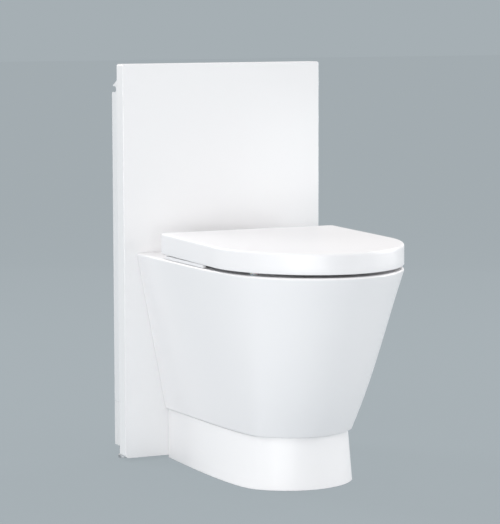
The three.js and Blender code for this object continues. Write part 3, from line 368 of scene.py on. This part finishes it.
def makeMetalGroup():
    # drawn or turned metal: fine streaks along one axis, plus handling marks
    group, given, out = newGroup(
        "metalSurface", {"Stretch": (1, 1, 0.04), "Streaks": 900.0, "Marks": 45.0},
        surfaceOutputs)
    at = given["Coordinates"]
    pull = group.nodes.new("ShaderNodeVectorMath")
    pull.operation = "MULTIPLY"
    group.links.new(at, pull.inputs[0])
    group.links.new(given["Stretch"], pull.inputs[1])
    streak = noiseNode(group, pull.outputs[0], given["Streaks"], detail=3.0, roughness=0.6)
    marks = noiseNode(group, at, given["Marks"], detail=4.0, roughness=0.65)
    group.links.new(marks, out["Tone"])
    group.links.new(streak, out["Height"])
    group.links.new(mathNode(group, "MULTIPLY", streak, marks), out["Dull"])
    return group


def makeEdgeGroup():
    # worn or rubbed edges, broken up so that they don't run as one line
    flatPointiness, edgeGain = 0.52, 9.0
    group, given, out = newGroup("rubbedEdges", {"Break up": 120.0, "Amount": 0.5}, ["Mask"])
    shape = group.nodes.new("ShaderNodeNewGeometry")
    spread = noiseNode(
        group, given["Coordinates"], given["Break up"], detail=3.0, roughness=0.7)
    edge = mathNode(group, "SUBTRACT", shape.outputs["Pointiness"], flatPointiness)
    edge = mathNode(group, "MULTIPLY", edge, edgeGain)
    edge.node.use_clamp = True
    edge = mathNode(group, "MULTIPLY", edge, spread)
    edge = mathNode(group, "MULTIPLY", edge, given["Amount"])
    edge.node.use_clamp = True
    group.links.new(edge, out["Mask"])
    return group


surfaceGroups = {"glaze": makeGlazeGroup(), "mould": makeMouldGroup(), "metal": makeMetalGroup()}
edgeGroup = makeEdgeGroup()

# what a finish has unless its own look says otherwise
commonLook = dict(metal=0.0, ior=1.5, gleam=0.5, coat=0.0, coatRoughness=0.03,
                  soft=0.0, softDepth=0.002)


def makeFinish(name, look):
    # look: two close tones, how the surface is made, gloss and relief
    look = commonLook | look
    material = bpy.data.materials.new(name)
    material.use_nodes = True
    tree = material.node_tree
    shader = tree.nodes["Principled BSDF"]
    place = tree.nodes.new("ShaderNodeTexCoord")
    surface = tree.nodes.new("ShaderNodeGroup")
    surface.node_tree = surfaceGroups[look["surface"]]
    tree.links.new(place.outputs["Object"], surface.inputs["Coordinates"])
    for label, value in look["pattern"].items():
        surface.inputs[label].default_value = value

    rub = tree.nodes.new("ShaderNodeGroup")
    rub.node_tree = edgeGroup
    rub.inputs["Amount"].default_value = look["edgeAmount"]
    tree.links.new(place.outputs["Object"], rub.inputs["Coordinates"])
    tones = tintNode(tree, surface.outputs["Tone"], look["tone"], look["otherTone"])
    worn = tintNode(tree, rub.outputs["Mask"], tones, look["edgeTone"])
    tree.links.new(worn, shader.inputs["Base Color"])

    gloss = tree.nodes.new("ShaderNodeMapRange")
    gloss.inputs["To Min"].default_value = look["roughness"]
    gloss.inputs["To Max"].default_value = look["dullest"]
    tree.links.new(surface.outputs["Dull"], gloss.inputs["Value"])
    tree.links.new(gloss.outputs["Result"], shader.inputs["Roughness"])
    relief = tree.nodes.new("ShaderNodeBump")
    relief.inputs["Strength"].default_value = look["relief"]
    relief.inputs["Distance"].default_value = look["reliefDepth"]
    tree.links.new(surface.outputs["Height"], relief.inputs["Height"])
    tree.links.new(relief.outputs["Normal"], shader.inputs["Normal"])
    shader.inputs["Metallic"].default_value = look["metal"]
    shader.inputs["IOR"].default_value = look["ior"]
    shader.inputs["Specular IOR Level"].default_value = look["gleam"]
    shader.inputs["Coat Weight"].default_value = look["coat"]
    shader.inputs["Coat Roughness"].default_value = look["coatRoughness"]
    shader.inputs["Subsurface Weight"].default_value = look["soft"]
    shader.inputs["Subsurface Scale"].default_value = look["softDepth"]
    return material


finishLooks = {
    "bowl_glaze": dict(
        surface="glaze", tone=(0.88, 0.872, 0.882), otherTone=(0.893, 0.885, 0.893),
        roughness=0.285, dullest=0.4, relief=0.06, reliefDepth=0.002,
        coat=0.12, coatRoughness=0.06, gleam=0.4,
        edgeTone=(0.89, 0.895, 0.9), edgeAmount=0.4,
        pattern={"Pooling": 9.0, "Peel": 240.0, "Pinholes": 70.0}),
    "plinth_glaze": dict(
        surface="glaze", tone=(0.886, 0.88, 0.888), otherTone=(0.899, 0.893, 0.899),
        roughness=0.285, dullest=0.4, relief=0.07, reliefDepth=0.002,
        coat=0.1, coatRoughness=0.06, gleam=0.4,
        edgeTone=(0.9, 0.902, 0.905), edgeAmount=0.4,
        pattern={"Pooling": 11.0, "Peel": 220.0, "Pinholes": 60.0}),
    "panel_gloss": dict(
        surface="mould", tone=(0.83, 0.83, 0.838), otherTone=(0.842, 0.842, 0.848),
        roughness=0.16, dullest=0.22, relief=0.03, reliefDepth=0.001,
        coat=0.35, coatRoughness=0.13,
        edgeTone=(0.9, 0.905, 0.912), edgeAmount=0.5,
        pattern={"Grain": 420.0, "Sink": 6.0, "Scuffs": 25.0}),
    "seat_gloss": dict(
        surface="mould", tone=(0.84, 0.836, 0.847), otherTone=(0.852, 0.848, 0.858),
        roughness=0.3, dullest=0.38, relief=0.03, reliefDepth=0.001,
        coat=0.12, coatRoughness=0.2,
        edgeTone=(0.905, 0.91, 0.915), edgeAmount=0.4,
        pattern={"Grain": 380.0, "Sink": 8.0, "Scuffs": 30.0}),
    "frame_coat": dict(
        surface="mould", tone=(0.7, 0.712, 0.726), otherTone=(0.73, 0.741, 0.753),
        roughness=0.42, dullest=0.55, relief=0.25, reliefDepth=0.0004,
        edgeTone=(0.83, 0.84, 0.85), edgeAmount=0.5,
        pattern={"Grain": 1400.0, "Sink": 18.0, "Scuffs": 70.0}),
    "tank_plastic": dict(
        surface="mould", tone=(0.74, 0.745, 0.735), otherTone=(0.79, 0.792, 0.775),
        roughness=0.46, dullest=0.62, relief=0.22, reliefDepth=0.0005,
        edgeTone=(0.83, 0.83, 0.81), edgeAmount=0.4,
        pattern={"Grain": 1100.0, "Sink": 16.0, "Scuffs": 50.0}),
    "moulding": dict(
        surface="mould", tone=(0.7, 0.711, 0.721), otherTone=(0.74, 0.748, 0.755),
        roughness=0.4, dullest=0.55, relief=0.2, reliefDepth=0.0003,
        edgeTone=(0.8, 0.805, 0.81), edgeAmount=0.5,
        pattern={"Grain": 1500.0, "Sink": 40.0, "Scuffs": 90.0}),
    "rubber": dict(
        surface="mould", tone=(0.022, 0.022, 0.024), otherTone=(0.036, 0.036, 0.038),
        roughness=0.72, dullest=0.9, relief=0.35, reliefDepth=0.0003,
        edgeTone=(0.06, 0.06, 0.062), edgeAmount=0.6,
        pattern={"Grain": 1800.0, "Sink": 60.0, "Scuffs": 120.0}),
    "buffer_rubber": dict(
        surface="mould", tone=(0.6, 0.62, 0.63), otherTone=(0.68, 0.69, 0.7),
        roughness=0.32, dullest=0.5, relief=0.12, reliefDepth=0.0003, soft=0.5,
        edgeTone=(0.76, 0.77, 0.78), edgeAmount=0.4,
        pattern={"Grain": 1500.0, "Sink": 90.0, "Scuffs": 120.0}),
    "chrome": dict(
        surface="metal", tone=(0.74, 0.75, 0.765), otherTone=(0.8, 0.81, 0.82),
        roughness=0.06, dullest=0.16, relief=0.02, reliefDepth=0.0002, metal=1.0,
        edgeTone=(0.86, 0.865, 0.87), edgeAmount=0.5,
        pattern={"Stretch": (1, 1, 0.2), "Streaks": 500.0, "Marks": 60.0}),
    "steel": dict(
        surface="metal", tone=(0.5, 0.51, 0.525), otherTone=(0.62, 0.63, 0.64),
        roughness=0.28, dullest=0.5, relief=0.12, reliefDepth=0.0002, metal=1.0,
        edgeTone=(0.72, 0.73, 0.74), edgeAmount=0.6,
        pattern={"Stretch": (1, 1, 0.05), "Streaks": 900.0, "Marks": 80.0}),
    "hose_braid": dict(
        surface="metal", tone=(0.36, 0.37, 0.385), otherTone=(0.6, 0.61, 0.62),
        roughness=0.3, dullest=0.5, relief=0.5, reliefDepth=0.0006, metal=1.0,
        edgeTone=(0.72, 0.73, 0.74), edgeAmount=0.6,
        pattern={"Stretch": (1, 1, 1), "Streaks": 420.0, "Marks": 300.0}),
}
finishes = {slot: makeFinish(slot, look) for slot, look in finishLooks.items()}
print("finishes ready:", len(finishes))


bowlLook = {
    "foot": dict(back=0.0003, halfBack=0.124, half=0.1125, shoulder=0.322, tip=0.408,
                 fullness=1.72, corner=0.0015),
    "rim": dict(back=0.0003, halfBack=0.180, half=0.180, shoulder=0.354, tip=0.550,
                fullness=1.86, corner=0.0015),
    "footHeight": 0.097,
    "rimHeight": 0.400,
    "footEdge": 0.003,
    "rimEdge": 0.004,
    "mouthEdge": 0.006,
    "wall": 0.011,
    "belly": 0.3,
    "fullBelly": 1 / 3,  # share of the front curve where the swell is full
    "footEasing": 70,
    "rimEasing": 20,
    "columns": ([i / 9 for i in range(9)], 3, 22, 30),
    "footRows": 3,
    "wallRows": 14,
    "edgeRows": 5,
    "insideRows": 4,
    "deckShares": (0.04, 0.3, 0.6, 0.9, 0.98, 1),
    # the inside, from the mouth down the basin, round the sump, over the weir and out:
    # centre y, centre z, pitch, half width, half length
    "inside": [
        (-0.1140, 0.3940, 0, 0.1280, 0.1630),
        (-0.1132, 0.3738, 0, 0.1267, 0.1614),
        (-0.1070, 0.3214, 0, 0.1178, 0.1500),
        (-0.0945, 0.2690, 0, 0.1011, 0.1288),
        (-0.0758, 0.2166, 1, 0.0768, 0.0978),
        (-0.0580, 0.1780, 10, 0.0560, 0.0720),
        (-0.0420, 0.1600, 32, 0.0480, 0.0560),
        (-0.0220, 0.1540, 62, 0.0430, 0.0460),
        (0.0080, 0.1590, 84, 0.0400, 0.0400),
        (0.0400, 0.1560, 88, 0.0400, 0.0400),
        (0.0740, 0.1590, 112, 0.0400, 0.0400),
        (0.1090, 0.1900, 134, 0.0400, 0.0400),
        (0.1420, 0.2220, 116, 0.0400, 0.0400),
        (0.1790, 0.2300, 86, 0.0400, 0.0400),
        (0.2150, 0.2210, 84, 0.0400, 0.0400),
        (0.2350, 0.2200, 90, 0.0400, 0.0400),
        (0.2460, 0.2200, 90, 0.0400, 0.0400),
    ],
    # the flush water's way in: the hole is cut from basin to wall, then gets its boss
    "flushHeight": 0.355,
    "flushBore": 0.0275,
    "flushBoss": 0.038,
    "flushCut": (0.02, 0.24),
    "bossY": (0.2, 0.075),
    "boreY": (0.062, 0.21),
    "bossSides": 48,
    "sharp": 50,
}


def belliedRing(low, high, share, steps):
    # between foot and rim the front swells a little past a straight line
    belly, full = bowlLook["belly"], bowlLook["fullBelly"]
    ring = []
    for p, q, (part, along, _) in zip(low, high, steps):
        swell = belly * share * (1 - share) ** 2 * sin(min(along / full, 1) * pi / 2)
        place = p.lerp(q, share + (swell if part == "front" else 0))
        place.z = p.z + (q.z - p.z) * share
        ring.append(place)
    return ring


def buildBowl():
    look = bowlLook
    steps = planSteps(*look["columns"])
    count = len(steps)
    foot, rim = look["foot"], look["rim"]
    edge, footEdge, grow = look["rimEdge"], look["footEdge"], look["mouthEdge"]
    footZ, rimZ, wallRows = look["footHeight"], look["rimHeight"], look["wallRows"]
    rings = [planRing(foot, steps, footZ + footEdge * across, footEdge * (1 - up), 0)
             for across, up in quarter(look["footRows"])]
    low = planRing(foot, steps, footZ + footEdge)
    high = planRing(rim, steps, rimZ - edge)
    rings += [belliedRing(low, high, i / wallRows, steps) for i in range(1, wallRows + 1)]
    rings += [planRing(rim, steps, rimZ - edge + edge * up, edge * across, 0)
              for across, up in quarter(look["edgeRows"])[1:]]
    lessEasing = look["footEasing"] - look["rimEasing"]
    for i, ring in enumerate(rings):
        easeShoulders(ring, steps, round(look["footEasing"] - lessEasing * i / len(rings)))

    y, _, _, halfWidth, halfLength = look["inside"][0]
    mouth = ovalRing(count, y, rimZ, 0, halfWidth + grow, halfLength + grow)
    deck = rings[-1]
    rings += [mixRings(deck, mouth, share) for share in look["deckShares"]]
    for across, up in quarter(look["edgeRows"])[1:]:
        rings.append(ovalRing(count, y, rimZ - grow * across, 0,
                              halfWidth + grow * (1 - up), halfLength + grow * (1 - up)))
    inside = smoothRows(look["inside"], look["insideRows"])
    rings += [ovalRing(count, *row) for row in inside[1:]]
    bm = bmesh.new()
    loftThrough(bm, rings)

    bore, flushZ = look["flushBore"], look["flushHeight"]
    cutHoles(bm, [("y", bore, *look["flushCut"], (0, flushZ))], look["wall"])
    boss = bmesh.new()
    rounds = [ovalRing(look["bossSides"], along, flushZ, 90, radius, radius)
              for radius, places in ((look["flushBoss"], look["bossY"]), (bore, look["boreY"]))
              for along in places]
    loftThrough(boss, rounds, closed=True)
    joined = bpy.data.meshes.new("flushBoss")
    boss.to_mesh(joined)
    boss.free()
    bm.from_mesh(joined)
    bpy.data.meshes.remove(joined)
    return newPiece("bowlBody", bm, "bowl", look["sharp"])


bowlBody = buildBowl()
print("bowl ready:", len(bowlBody.data.polygons))


plinthLook = {
    "base": dict(back=0.0003, halfBack=0.1177, half=0.1246, shoulder=0.2736, tip=0.4028,
                 fullness=1.98, corner=0.0012),
    "top": dict(back=0.0003, halfBack=0.1177, half=0.114, shoulder=0.290, tip=0.397,
                fullness=1.86, corner=0.0012),
    "height": 0.0967,
    "wall": 0.010,
    "edge": 0.0015,
    "easing": 70,
    "columns": ([i / 8 for i in range(8)], 3, 16, 28),
    "edgeRows": 3,
    "wallRows": 8,
    "lugX": (0.084, 0.116),
    "lugY": (0.011, 0.041),
    "lugHeight": 0.012,
    "lugEdge": 0.002,
    "sharp": 50,
}


def buildPlinth():
    look = plinthLook
    steps = planSteps(*look["columns"])
    edge, wall, high = look["edge"], look["wall"], look["height"]
    edgeRows, wallRows = quarter(look["edgeRows"]), look["wallRows"]

    def ringAt(height, inset, backInset=None):
        base = planRing(look["base"], steps, height, inset, backInset)
        head = planRing(look["top"], steps, height, inset, backInset)
        return mixRings(base, head, height / high)

    rings = [ringAt(edge * across, edge * (1 - up), 0) for across, up in edgeRows]
    rings += [ringAt(edge + (high - 2 * edge) * i / wallRows, 0, 0)
              for i in range(1, wallRows + 1)]
    rings += [ringAt(high - edge + edge * up, edge * across, 0) for across, up in edgeRows[1:]]
    for ring in rings:
        easeShoulders(ring, steps, look["easing"])
    rings += [ringAt(high, wall), ringAt(high / 2, wall), ringAt(0, wall)]
    bm = bmesh.new()
    loftThrough(bm, rings, closed=True)
    nearY, farY = look["lugY"]
    for side in (-1, 1):
        nearX, farX = sorted(side * x for x in look["lugX"])
        addBlock(bm, (nearX, nearY, 0), (farX, farY, look["lugHeight"]), look["lugEdge"])
    return newPiece("plinthBody", bm, "plinth", look["sharp"])


plinthBody = buildPlinth()
print("plinth ready:", len(plinthBody.data.polygons))


lidLook = {
    "plan": dict(back=0.114, halfBack=0.1792, half=0.1792, shoulder=0.354, tip=0.5488,
                 fullness=1.88, corner=0.004),
    "backLow": 0.4092,
    "frontLow": 0.4053,
    "lowCurve": 1.6,  # over 1, the lower edge falls most near the hinges and levels out
    "backTop": 0.448,
    "frontTop": 0.4425,
    "edge": 0.0043,
    "lowEdge": 0.001,
    "wall": 0.004,
    "ceiling": 0.438,
    "ceilingEdge": 0.003,
    "backOpening": 0.106,
    # the top's middle strip: its centre, and how much narrower and shorter it is
    "spineY": -0.09,
    "spineWidthShare": 0.06,
    "spineLengthShare": 0.3,
    "columns": ([0, 0.1, 0.2, 0.3, 0.4, 0.5, 0.57, 0.6064, 0.6088, 0.8], 4, 20, 30),
    "edgeRows": 5,
    "topShares": (0, 0.2, 0.4, 0.6, 0.8, 0.93, 0.985, 1),
    "sideShares": (0.1, 0.35, 0.65, 1),
    "insideShare": 0.9,
    "ceilingShares": (0.1, 0.4, 0.7, 1),
    "hinge": dict(y=0.096, z=0.424, near=0.087, far=0.099, radius=0.009, sides=40,
                  edge=0.0006, overlap=0.002),
    "sharp": 60,
}


def buildLid():
    look = lidLook
    plan, ceiling = look["plan"], look["ceiling"]
    steps = planSteps(*look["columns"])
    edge, lowEdge, wall = look["edge"], look["lowEdge"], look["wall"]

    def alongLid(y):
        return (panelFace - y - plan["back"]) / (plan["tip"] - plan["back"])

    def topAt(x, y):
        return look["backTop"] + (look["frontTop"] - look["backTop"]) * alongLid(y)

    def lowAt(x, y):
        # the skirt's lower edge rises towards the hinges
        rise = max(1 - alongLid(y), 0.0) ** look["lowCurve"]
        return look["frontLow"] + (look["backLow"] - look["frontLow"]) * rise

    def opened(ring):
        # the back is left open between the hinges
        for point, (part, _, _) in zip(ring, steps):
            if part == "rear" and abs(point.x) < look["backOpening"]:
                point.z = max(point.z, ceiling)
        return ring

    rim = planRing(plan, steps, topAt, edge)
    middle = look["spineY"]
    spine = []
    for p in rim:
        x = p.x * look["spineWidthShare"]
        y = middle + (p.y - middle) * look["spineLengthShare"]
        spine.append(Vector((x, y, topAt(x, y))))
    rings = [mixRings(spine, rim, share) for share in look["topShares"]]
    for across, up in reversed(quarter(look["edgeRows"])[:-1]):
        ring = planRing(plan, steps, lambda x, y: topAt(x, y) - edge + edge * up, edge * across)
        rings.append(ring)
    top = rings[-1]
    foot = planRing(plan, steps, lambda x, y: lowAt(x, y) + lowEdge)
    rings += [opened(mixRings(top, foot, share)) for share in look["sideShares"]]
    rings += [opened(planRing(plan, steps, lowAt, inset)) for inset in (lowEdge, wall - lowEdge)]
    rings.append(opened(planRing(plan, steps, lambda x, y: lowAt(x, y) + lowEdge, wall)))
    inner = planRing(plan, steps, ceiling, wall)
    rings.append(opened(mixRings(rings[-1], inner, look["insideShare"])))
    rings.append(planRing(plan, steps, ceiling, wall + look["ceilingEdge"]))
    under = [Vector((p.x, p.y, ceiling)) for p in spine]
    border = rings[-1]
    rings += [mixRings(border, under, share) for share in look["ceilingShares"]]
    bm = bmesh.new()
    loftThrough(bm, rings, caps=True)

    hinge = look["hinge"]
    y, z, r = hinge["y"], hinge["z"], hinge["radius"]
    for side in (-1, 1):
        near, far = sorted((side * hinge["near"], side * hinge["far"]))
        addBar(bm, "x", r, near, far, (y, z), hinge["sides"], hinge["edge"])
        addBlock(bm, (near, y - r, z), (far, y + r, ceiling + hinge["overlap"]), hinge["edge"])
    return newPiece("lidShell", bm, "lid", look["sharp"])


lidShell = buildLid()
print("lid ready:", len(lidShell.data.polygons))


seatLook = {
    "plan": dict(back=0.148, halfBack=0.1727, half=0.1727, shoulder=0.354, tip=0.5423,
                 fullness=1.88, corner=0.006),
    "low": 0.408,
    "high": 0.426,
    "edge": 0.005,
    "lowEdge": 0.0015,
    "crown": 0.0015,
    "sideDrop": 0.001,  # how far the rounded edge starts under its highest place
    "hole": (-0.119, 0.108, 0.140),
    "holeEdge": 0.006,
    "columns": ([i / 9 for i in range(9)], 4, 21, 30),
    "edgeRows": 5,
    "sideShares": (0.5, 1),
    "topShares": (0.15, 0.35, 0.55, 0.75, 0.9, 1),
    "lipY": (-0.078, 0.094),
    "lipZ": (0.4008, 0.4065),
    "lipX": (0.1601, 0.1721, 0.1778),
    "lipRoot": 0.002,
    "lipEdge": 0.0005,
    "hinge": dict(y=0.096, z=0.424, near=0.057, far=0.069, radius=0.009, sides=40,
                  edge=0.0006, armZ=0.427, armEdge=0.0015, armSegments=3),
    "sharp": 50,
}


def buildSeat():
    look = seatLook
    plan = look["plan"]
    steps = planSteps(*look["columns"])
    count = len(steps)
    edge, lowEdge, grow = look["edge"], look["lowEdge"], look["holeEdge"]
    low, high, crown = look["low"], look["high"], look["crown"]
    edgeZ, mouthZ = high - edge - look["sideDrop"], high - crown
    y, halfWidth, halfLength = look["hole"]
    edgeRows = quarter(look["edgeRows"])[1:]
    rings = [planRing(plan, steps, low, lowEdge), planRing(plan, steps, low + lowEdge)]
    side = planRing(plan, steps, edgeZ)
    rings += [mixRings(rings[1], side, share) for share in look["sideShares"]]
    rings += [planRing(plan, steps, edgeZ + edge * up, edge * across) for across, up in edgeRows]
    mouth = ovalRing(count, y, mouthZ, 0, halfWidth + grow, halfLength + grow)
    outer = rings[-1]
    for share in look["topShares"]:
        ring = mixRings(outer, mouth, share)
        for point in ring:
            point.z += crown * sin(share * pi)  # a slight crown, easier to sit on
            point.z = min(point.z, high)
        rings.append(ring)
    for across, up in edgeRows:
        rings.append(ovalRing(count, y, mouthZ - grow * across, 0,
                              halfWidth + grow * (1 - up), halfLength + grow * (1 - up)))
    rings.append(ovalRing(count, y, low + lowEdge, 0, halfWidth, halfLength))
    rings.append(ovalRing(count, y, low, 0, halfWidth + lowEdge, halfLength + lowEdge))
    bm = bmesh.new()
    loftThrough(bm, rings, closed=True)

    # the lips hang beside the gap under the lid, each joined to the ring by its root
    inner, middle, lipOut = look["lipX"]
    (lipBack, lipFront), (lipLow, lipHigh) = reversed(look["lipY"]), look["lipZ"]
    hinge = look["hinge"]
    hingeY, z, r = hinge["y"], hinge["z"], hinge["radius"]
    for side in (-1, 1):
        for reach, top in ((middle, low + look["lipRoot"]), (lipOut, lipHigh)):
            near, far = sorted((side * inner, side * reach))
            addBlock(bm, (near, lipFront, lipLow), (far, lipBack, top), look["lipEdge"])
        near, far = sorted((side * hinge["near"], side * hinge["far"]))
        addBar(bm, "x", r, near, far, (hingeY, z), hinge["sides"], hinge["edge"])
        addBlock(bm, (near, panelFace - plan["back"] - r, z - r), (far, hingeY, hinge["armZ"]),
                 hinge["armEdge"], hinge["armSegments"])
    return newPiece("seatRing", bm, "seat_ring", look["sharp"])


seatRing = buildSeat()
print("seat ready:", len(seatRing.data.polygons))


panelLook = {
    "halfWidth": 0.2065,
    "low": 0.005,
    "high": 0.758,
    "depth": 0.0295,
    "face": 0.005,
    "wall": 0.004,
    "topCorner": 0.004,
    "footCorner": 0.007,
    "cornerSegments": 8,
    "faceEdge": 0.0012,
    "faceSegments": 4,
    # radius, x and z of the holes for the waste, the flush pipe and the two studs
    "holes": [(0.0645, 0, 0.220), (0.032, 0, 0.355), (0.009, -0.09, 0.32), (0.009, 0.09, 0.32)],
    "holeReach": (-0.01, 0.015),
    "sharp": 40,
}


def buildPanel():
    look = panelLook
    depth, halfWidth = look["depth"], look["halfWidth"]
    middle = (look["high"] + look["low"]) / 2
    bm = bmesh.new()
    plainBlock(bm, (-halfWidth, panelFace, look["low"]),
               (halfWidth, panelFace + depth, look["high"]))

    def runsBack(edge, side):
        # true for the edges behind the face's two top corners, or its two foot corners
        one, other = (v.co for v in edge.verts)
        return abs(one.y - other.y) > depth / 2 and side * (one.z - middle) > depth

    for corner, side in ((look["topCorner"], 1), (look["footCorner"], -1)):
        roundEdges(bm, [e for e in bm.edges if runsBack(e, side)], corner,
                   look["cornerSegments"])
    front = min(bm.faces, key=lambda f: f.calc_center_median().y)
    roundEdges(bm, list(front.edges), look["faceEdge"], look["faceSegments"])
    rear = max(bm.faces, key=lambda f: f.calc_center_median().y)
    bmesh.ops.inset_region(bm, faces=[rear], thickness=look["wall"])
    pushed = bmesh.ops.extrude_discrete_faces(bm, faces=[rear])["faces"]
    bmesh.ops.translate(bm, verts=list(pushed[0].verts), vec=(0, look["face"] - depth, 0))
    start, end = (panelFace + reach for reach in look["holeReach"])
    cutHoles(bm, [("y", radius, start, end, (x, z)) for radius, x, z in look["holes"]])
    return newPiece("panelShell", bm, "front_panel", look["sharp"])


panelShell = buildPanel()
print("panel ready:", len(panelShell.data.polygons))


# the hardware and the cistern's parts are refined from their solids; angles in degrees
hardwareLook = {
    "weld": 0.00001,
    "flat": 1,  # faces that turn less than this are joined
    "sharp": 38,  # edges that turn more than this are broken
    "bevel": 0.0004,
    "segments": 2,
    "shade": 40,  # edges that turn less than this are shaded smooth
}


def refinedCopy(name):
    look = hardwareLook
    bm = bmesh.new()
    bm.from_mesh(nodes[name].data)
    bmesh.ops.remove_doubles(bm, verts=bm.verts, dist=look["weld"])
    bmesh.ops.dissolve_limit(
        bm, angle_limit=radians(look["flat"]), verts=bm.verts, edges=bm.edges)
    sharp = [e for e in bm.edges
             if e.is_manifold and e.calc_face_angle() > radians(look["sharp"])]
    roundEdges(bm, sharp, look["bevel"], look["segments"], clamp=True)
    return newPiece(name + "_look", bm, name, look["shade"])


shownAsNew = {"bowl", "plinth", "lid", "seat_ring", "front_panel"}
for name in sorted(set(nodes) - shownAsNew):
    refinedCopy(name)
print("hardware ready:", len(nodes) - len(shownAsNew))


studio = {
    "backdrop": (0.381, 0.429, 0.456),
    "floor": (0.381, 0.429, 0.456),
    "floorSize": 30,
    "floorCells": 8,
    "floorDrop": 0.0003,
    "floorRoughness": 0.9,
    "floorEvenness": 0.88,
    "worldLight": 0.69,
    "worldTint": (1.0, 0.988, 0.99),
    # place, what it looks at, width, height, watts
    "lamps": {
        "lowLeft": ((-2.771, -1.6, 0.4), (0, 0, 0.35), 2.6, 0.8, 14),
        "lowFront": ((-1.743, -2.684, 0.4), (0, 0, 0.35), 2.2, 0.8, 28),
        "lowRight": ((2.057, -2.451, 0.27), (0, 0, 0.3), 1.4, 0.5, 4),
        "rightSide": ((3.151, -0.556, 0.8), (0, 0, 0.4), 2.4, 1.2, 43),
        "rightRear": ((2.537, 0.923, 2.2), (0, 0, 0.4), 1.3, 1.2, 20),
        "rearWide": ((1.596, 3.002, 0.9), (0, 0, 0.5), 3.2, 1.6, 3.5),
        "leftRear": ((-1.35, 2.338, 2.2), (0, 0, 0.4), 1.3, 1.2, 36),
        "highLeft": ((-2.608, -0.699, 2.2), (0, 0, 0.4), 1.3, 1.2, 13),
        "overhead": ((0, -0.2, 3.2), (0, 0, 0.4), 1.8, 1.8, 9),
    },
}


def buildFloor():
    bm = bmesh.new()
    cells = studio["floorCells"]
    bmesh.ops.create_grid(bm, x_segments=cells, y_segments=cells, size=studio["floorSize"])
    bmesh.ops.translate(bm, verts=bm.verts, vec=(0, 0, -studio["floorDrop"]))
    mesh = bpy.data.meshes.new("studioFloor")
    bm.to_mesh(mesh)
    bm.free()
    floor = bpy.data.objects.new("studioFloor", mesh)
    scene.collection.objects.link(floor)
    material = bpy.data.materials.new("studioFloor")
    material.use_nodes = True
    tree = material.node_tree
    shader = tree.nodes["Principled BSDF"]
    shader.inputs["Base Color"].default_value = (*studio["floor"], 1)
    shader.inputs["Roughness"].default_value = studio["floorRoughness"]
    shader.inputs["Specular IOR Level"].default_value = 0.0
    # seen directly or in a reflection, most of the floor is the backdrop's own colour
    path, glow = tree.nodes.new("ShaderNodeLightPath"), tree.nodes.new("ShaderNodeEmission")
    glow.inputs["Color"].default_value = (*studio["backdrop"], 1)
    seen = mathNode(tree, "MAXIMUM", path.outputs["Is Camera Ray"], path.outputs["Is Glossy Ray"])
    seen = mathNode(tree, "MAXIMUM", seen, path.outputs["Is Transmission Ray"])
    mix = tree.nodes.new("ShaderNodeMixShader")
    tree.links.new(mathNode(tree, "MULTIPLY", seen, studio["floorEvenness"]), mix.inputs[0])
    tree.links.new(shader.outputs[0], mix.inputs[1])
    tree.links.new(glow.outputs[0], mix.inputs[2])
    tree.links.new(mix.outputs[0], tree.nodes["Material Output"].inputs["Surface"])
    mesh.materials.append(material)


def buildLight():
    world = bpy.data.worlds.new("studio")
    scene.world = world
    world.use_nodes = True
    tree = world.node_tree
    tree.nodes.clear()
    out = tree.nodes.new("ShaderNodeOutputWorld")
    seen, light = tree.nodes.new("ShaderNodeBackground"), tree.nodes.new("ShaderNodeBackground")
    seen.inputs["Color"].default_value = (*studio["backdrop"], 1)
    light.inputs["Color"].default_value = (*studio["worldTint"], 1)
    light.inputs["Strength"].default_value = studio["worldLight"]
    path, mix = tree.nodes.new("ShaderNodeLightPath"), tree.nodes.new("ShaderNodeMixShader")
    tree.links.new(path.outputs["Is Camera Ray"], mix.inputs[0])
    tree.links.new(light.outputs[0], mix.inputs[1])
    tree.links.new(seen.outputs[0], mix.inputs[2])
    tree.links.new(mix.outputs[0], out.inputs["Surface"])

    for name, (place, target, width, height, watts) in studio["lamps"].items():
        data = bpy.data.lights.new(name, "AREA")
        data.shape = "RECTANGLE"
        data.size, data.size_y, data.energy = width, height, watts
        lamp = bpy.data.objects.new(name, data)
        scene.collection.objects.link(lamp)
        aim = (Vector(target) - Vector(place)).to_track_quat("-Z", "Y").to_matrix().to_4x4()
        lamp.matrix_world = Matrix.Translation(place) @ aim
        lamp.visible_camera = False


buildFloor()
buildLight()

cameraLook = {
    "place": (-1.9135, -4.0002, 0.87445),
    "turn": -25.0,
    "tilt": 83.84,
    "roll": -0.16,
    "lens": 165.69,
    "sensor": 36.0,
    "near": 0.1,
    "far": 100,
}


def buildCamera():
    look = cameraLook
    data = bpy.data.cameras.new("photoCamera")
    data.lens, data.sensor_width, data.sensor_fit = look["lens"], look["sensor"], "AUTO"
    data.clip_start, data.clip_end = look["near"], look["far"]
    camera = bpy.data.objects.new("photoCamera", data)
    scene.collection.objects.link(camera)
    turn = (Matrix.Rotation(radians(look["turn"]), 4, "Z")
            @ Matrix.Rotation(radians(look["tilt"]), 4, "X")
            @ Matrix.Rotation(radians(look["roll"]), 4, "Z"))
    camera.matrix_world = Matrix.Translation(look["place"]) @ turn
    scene.camera = camera


buildCamera()
scene.view_settings.view_transform = "Standard"
print("studio ready")
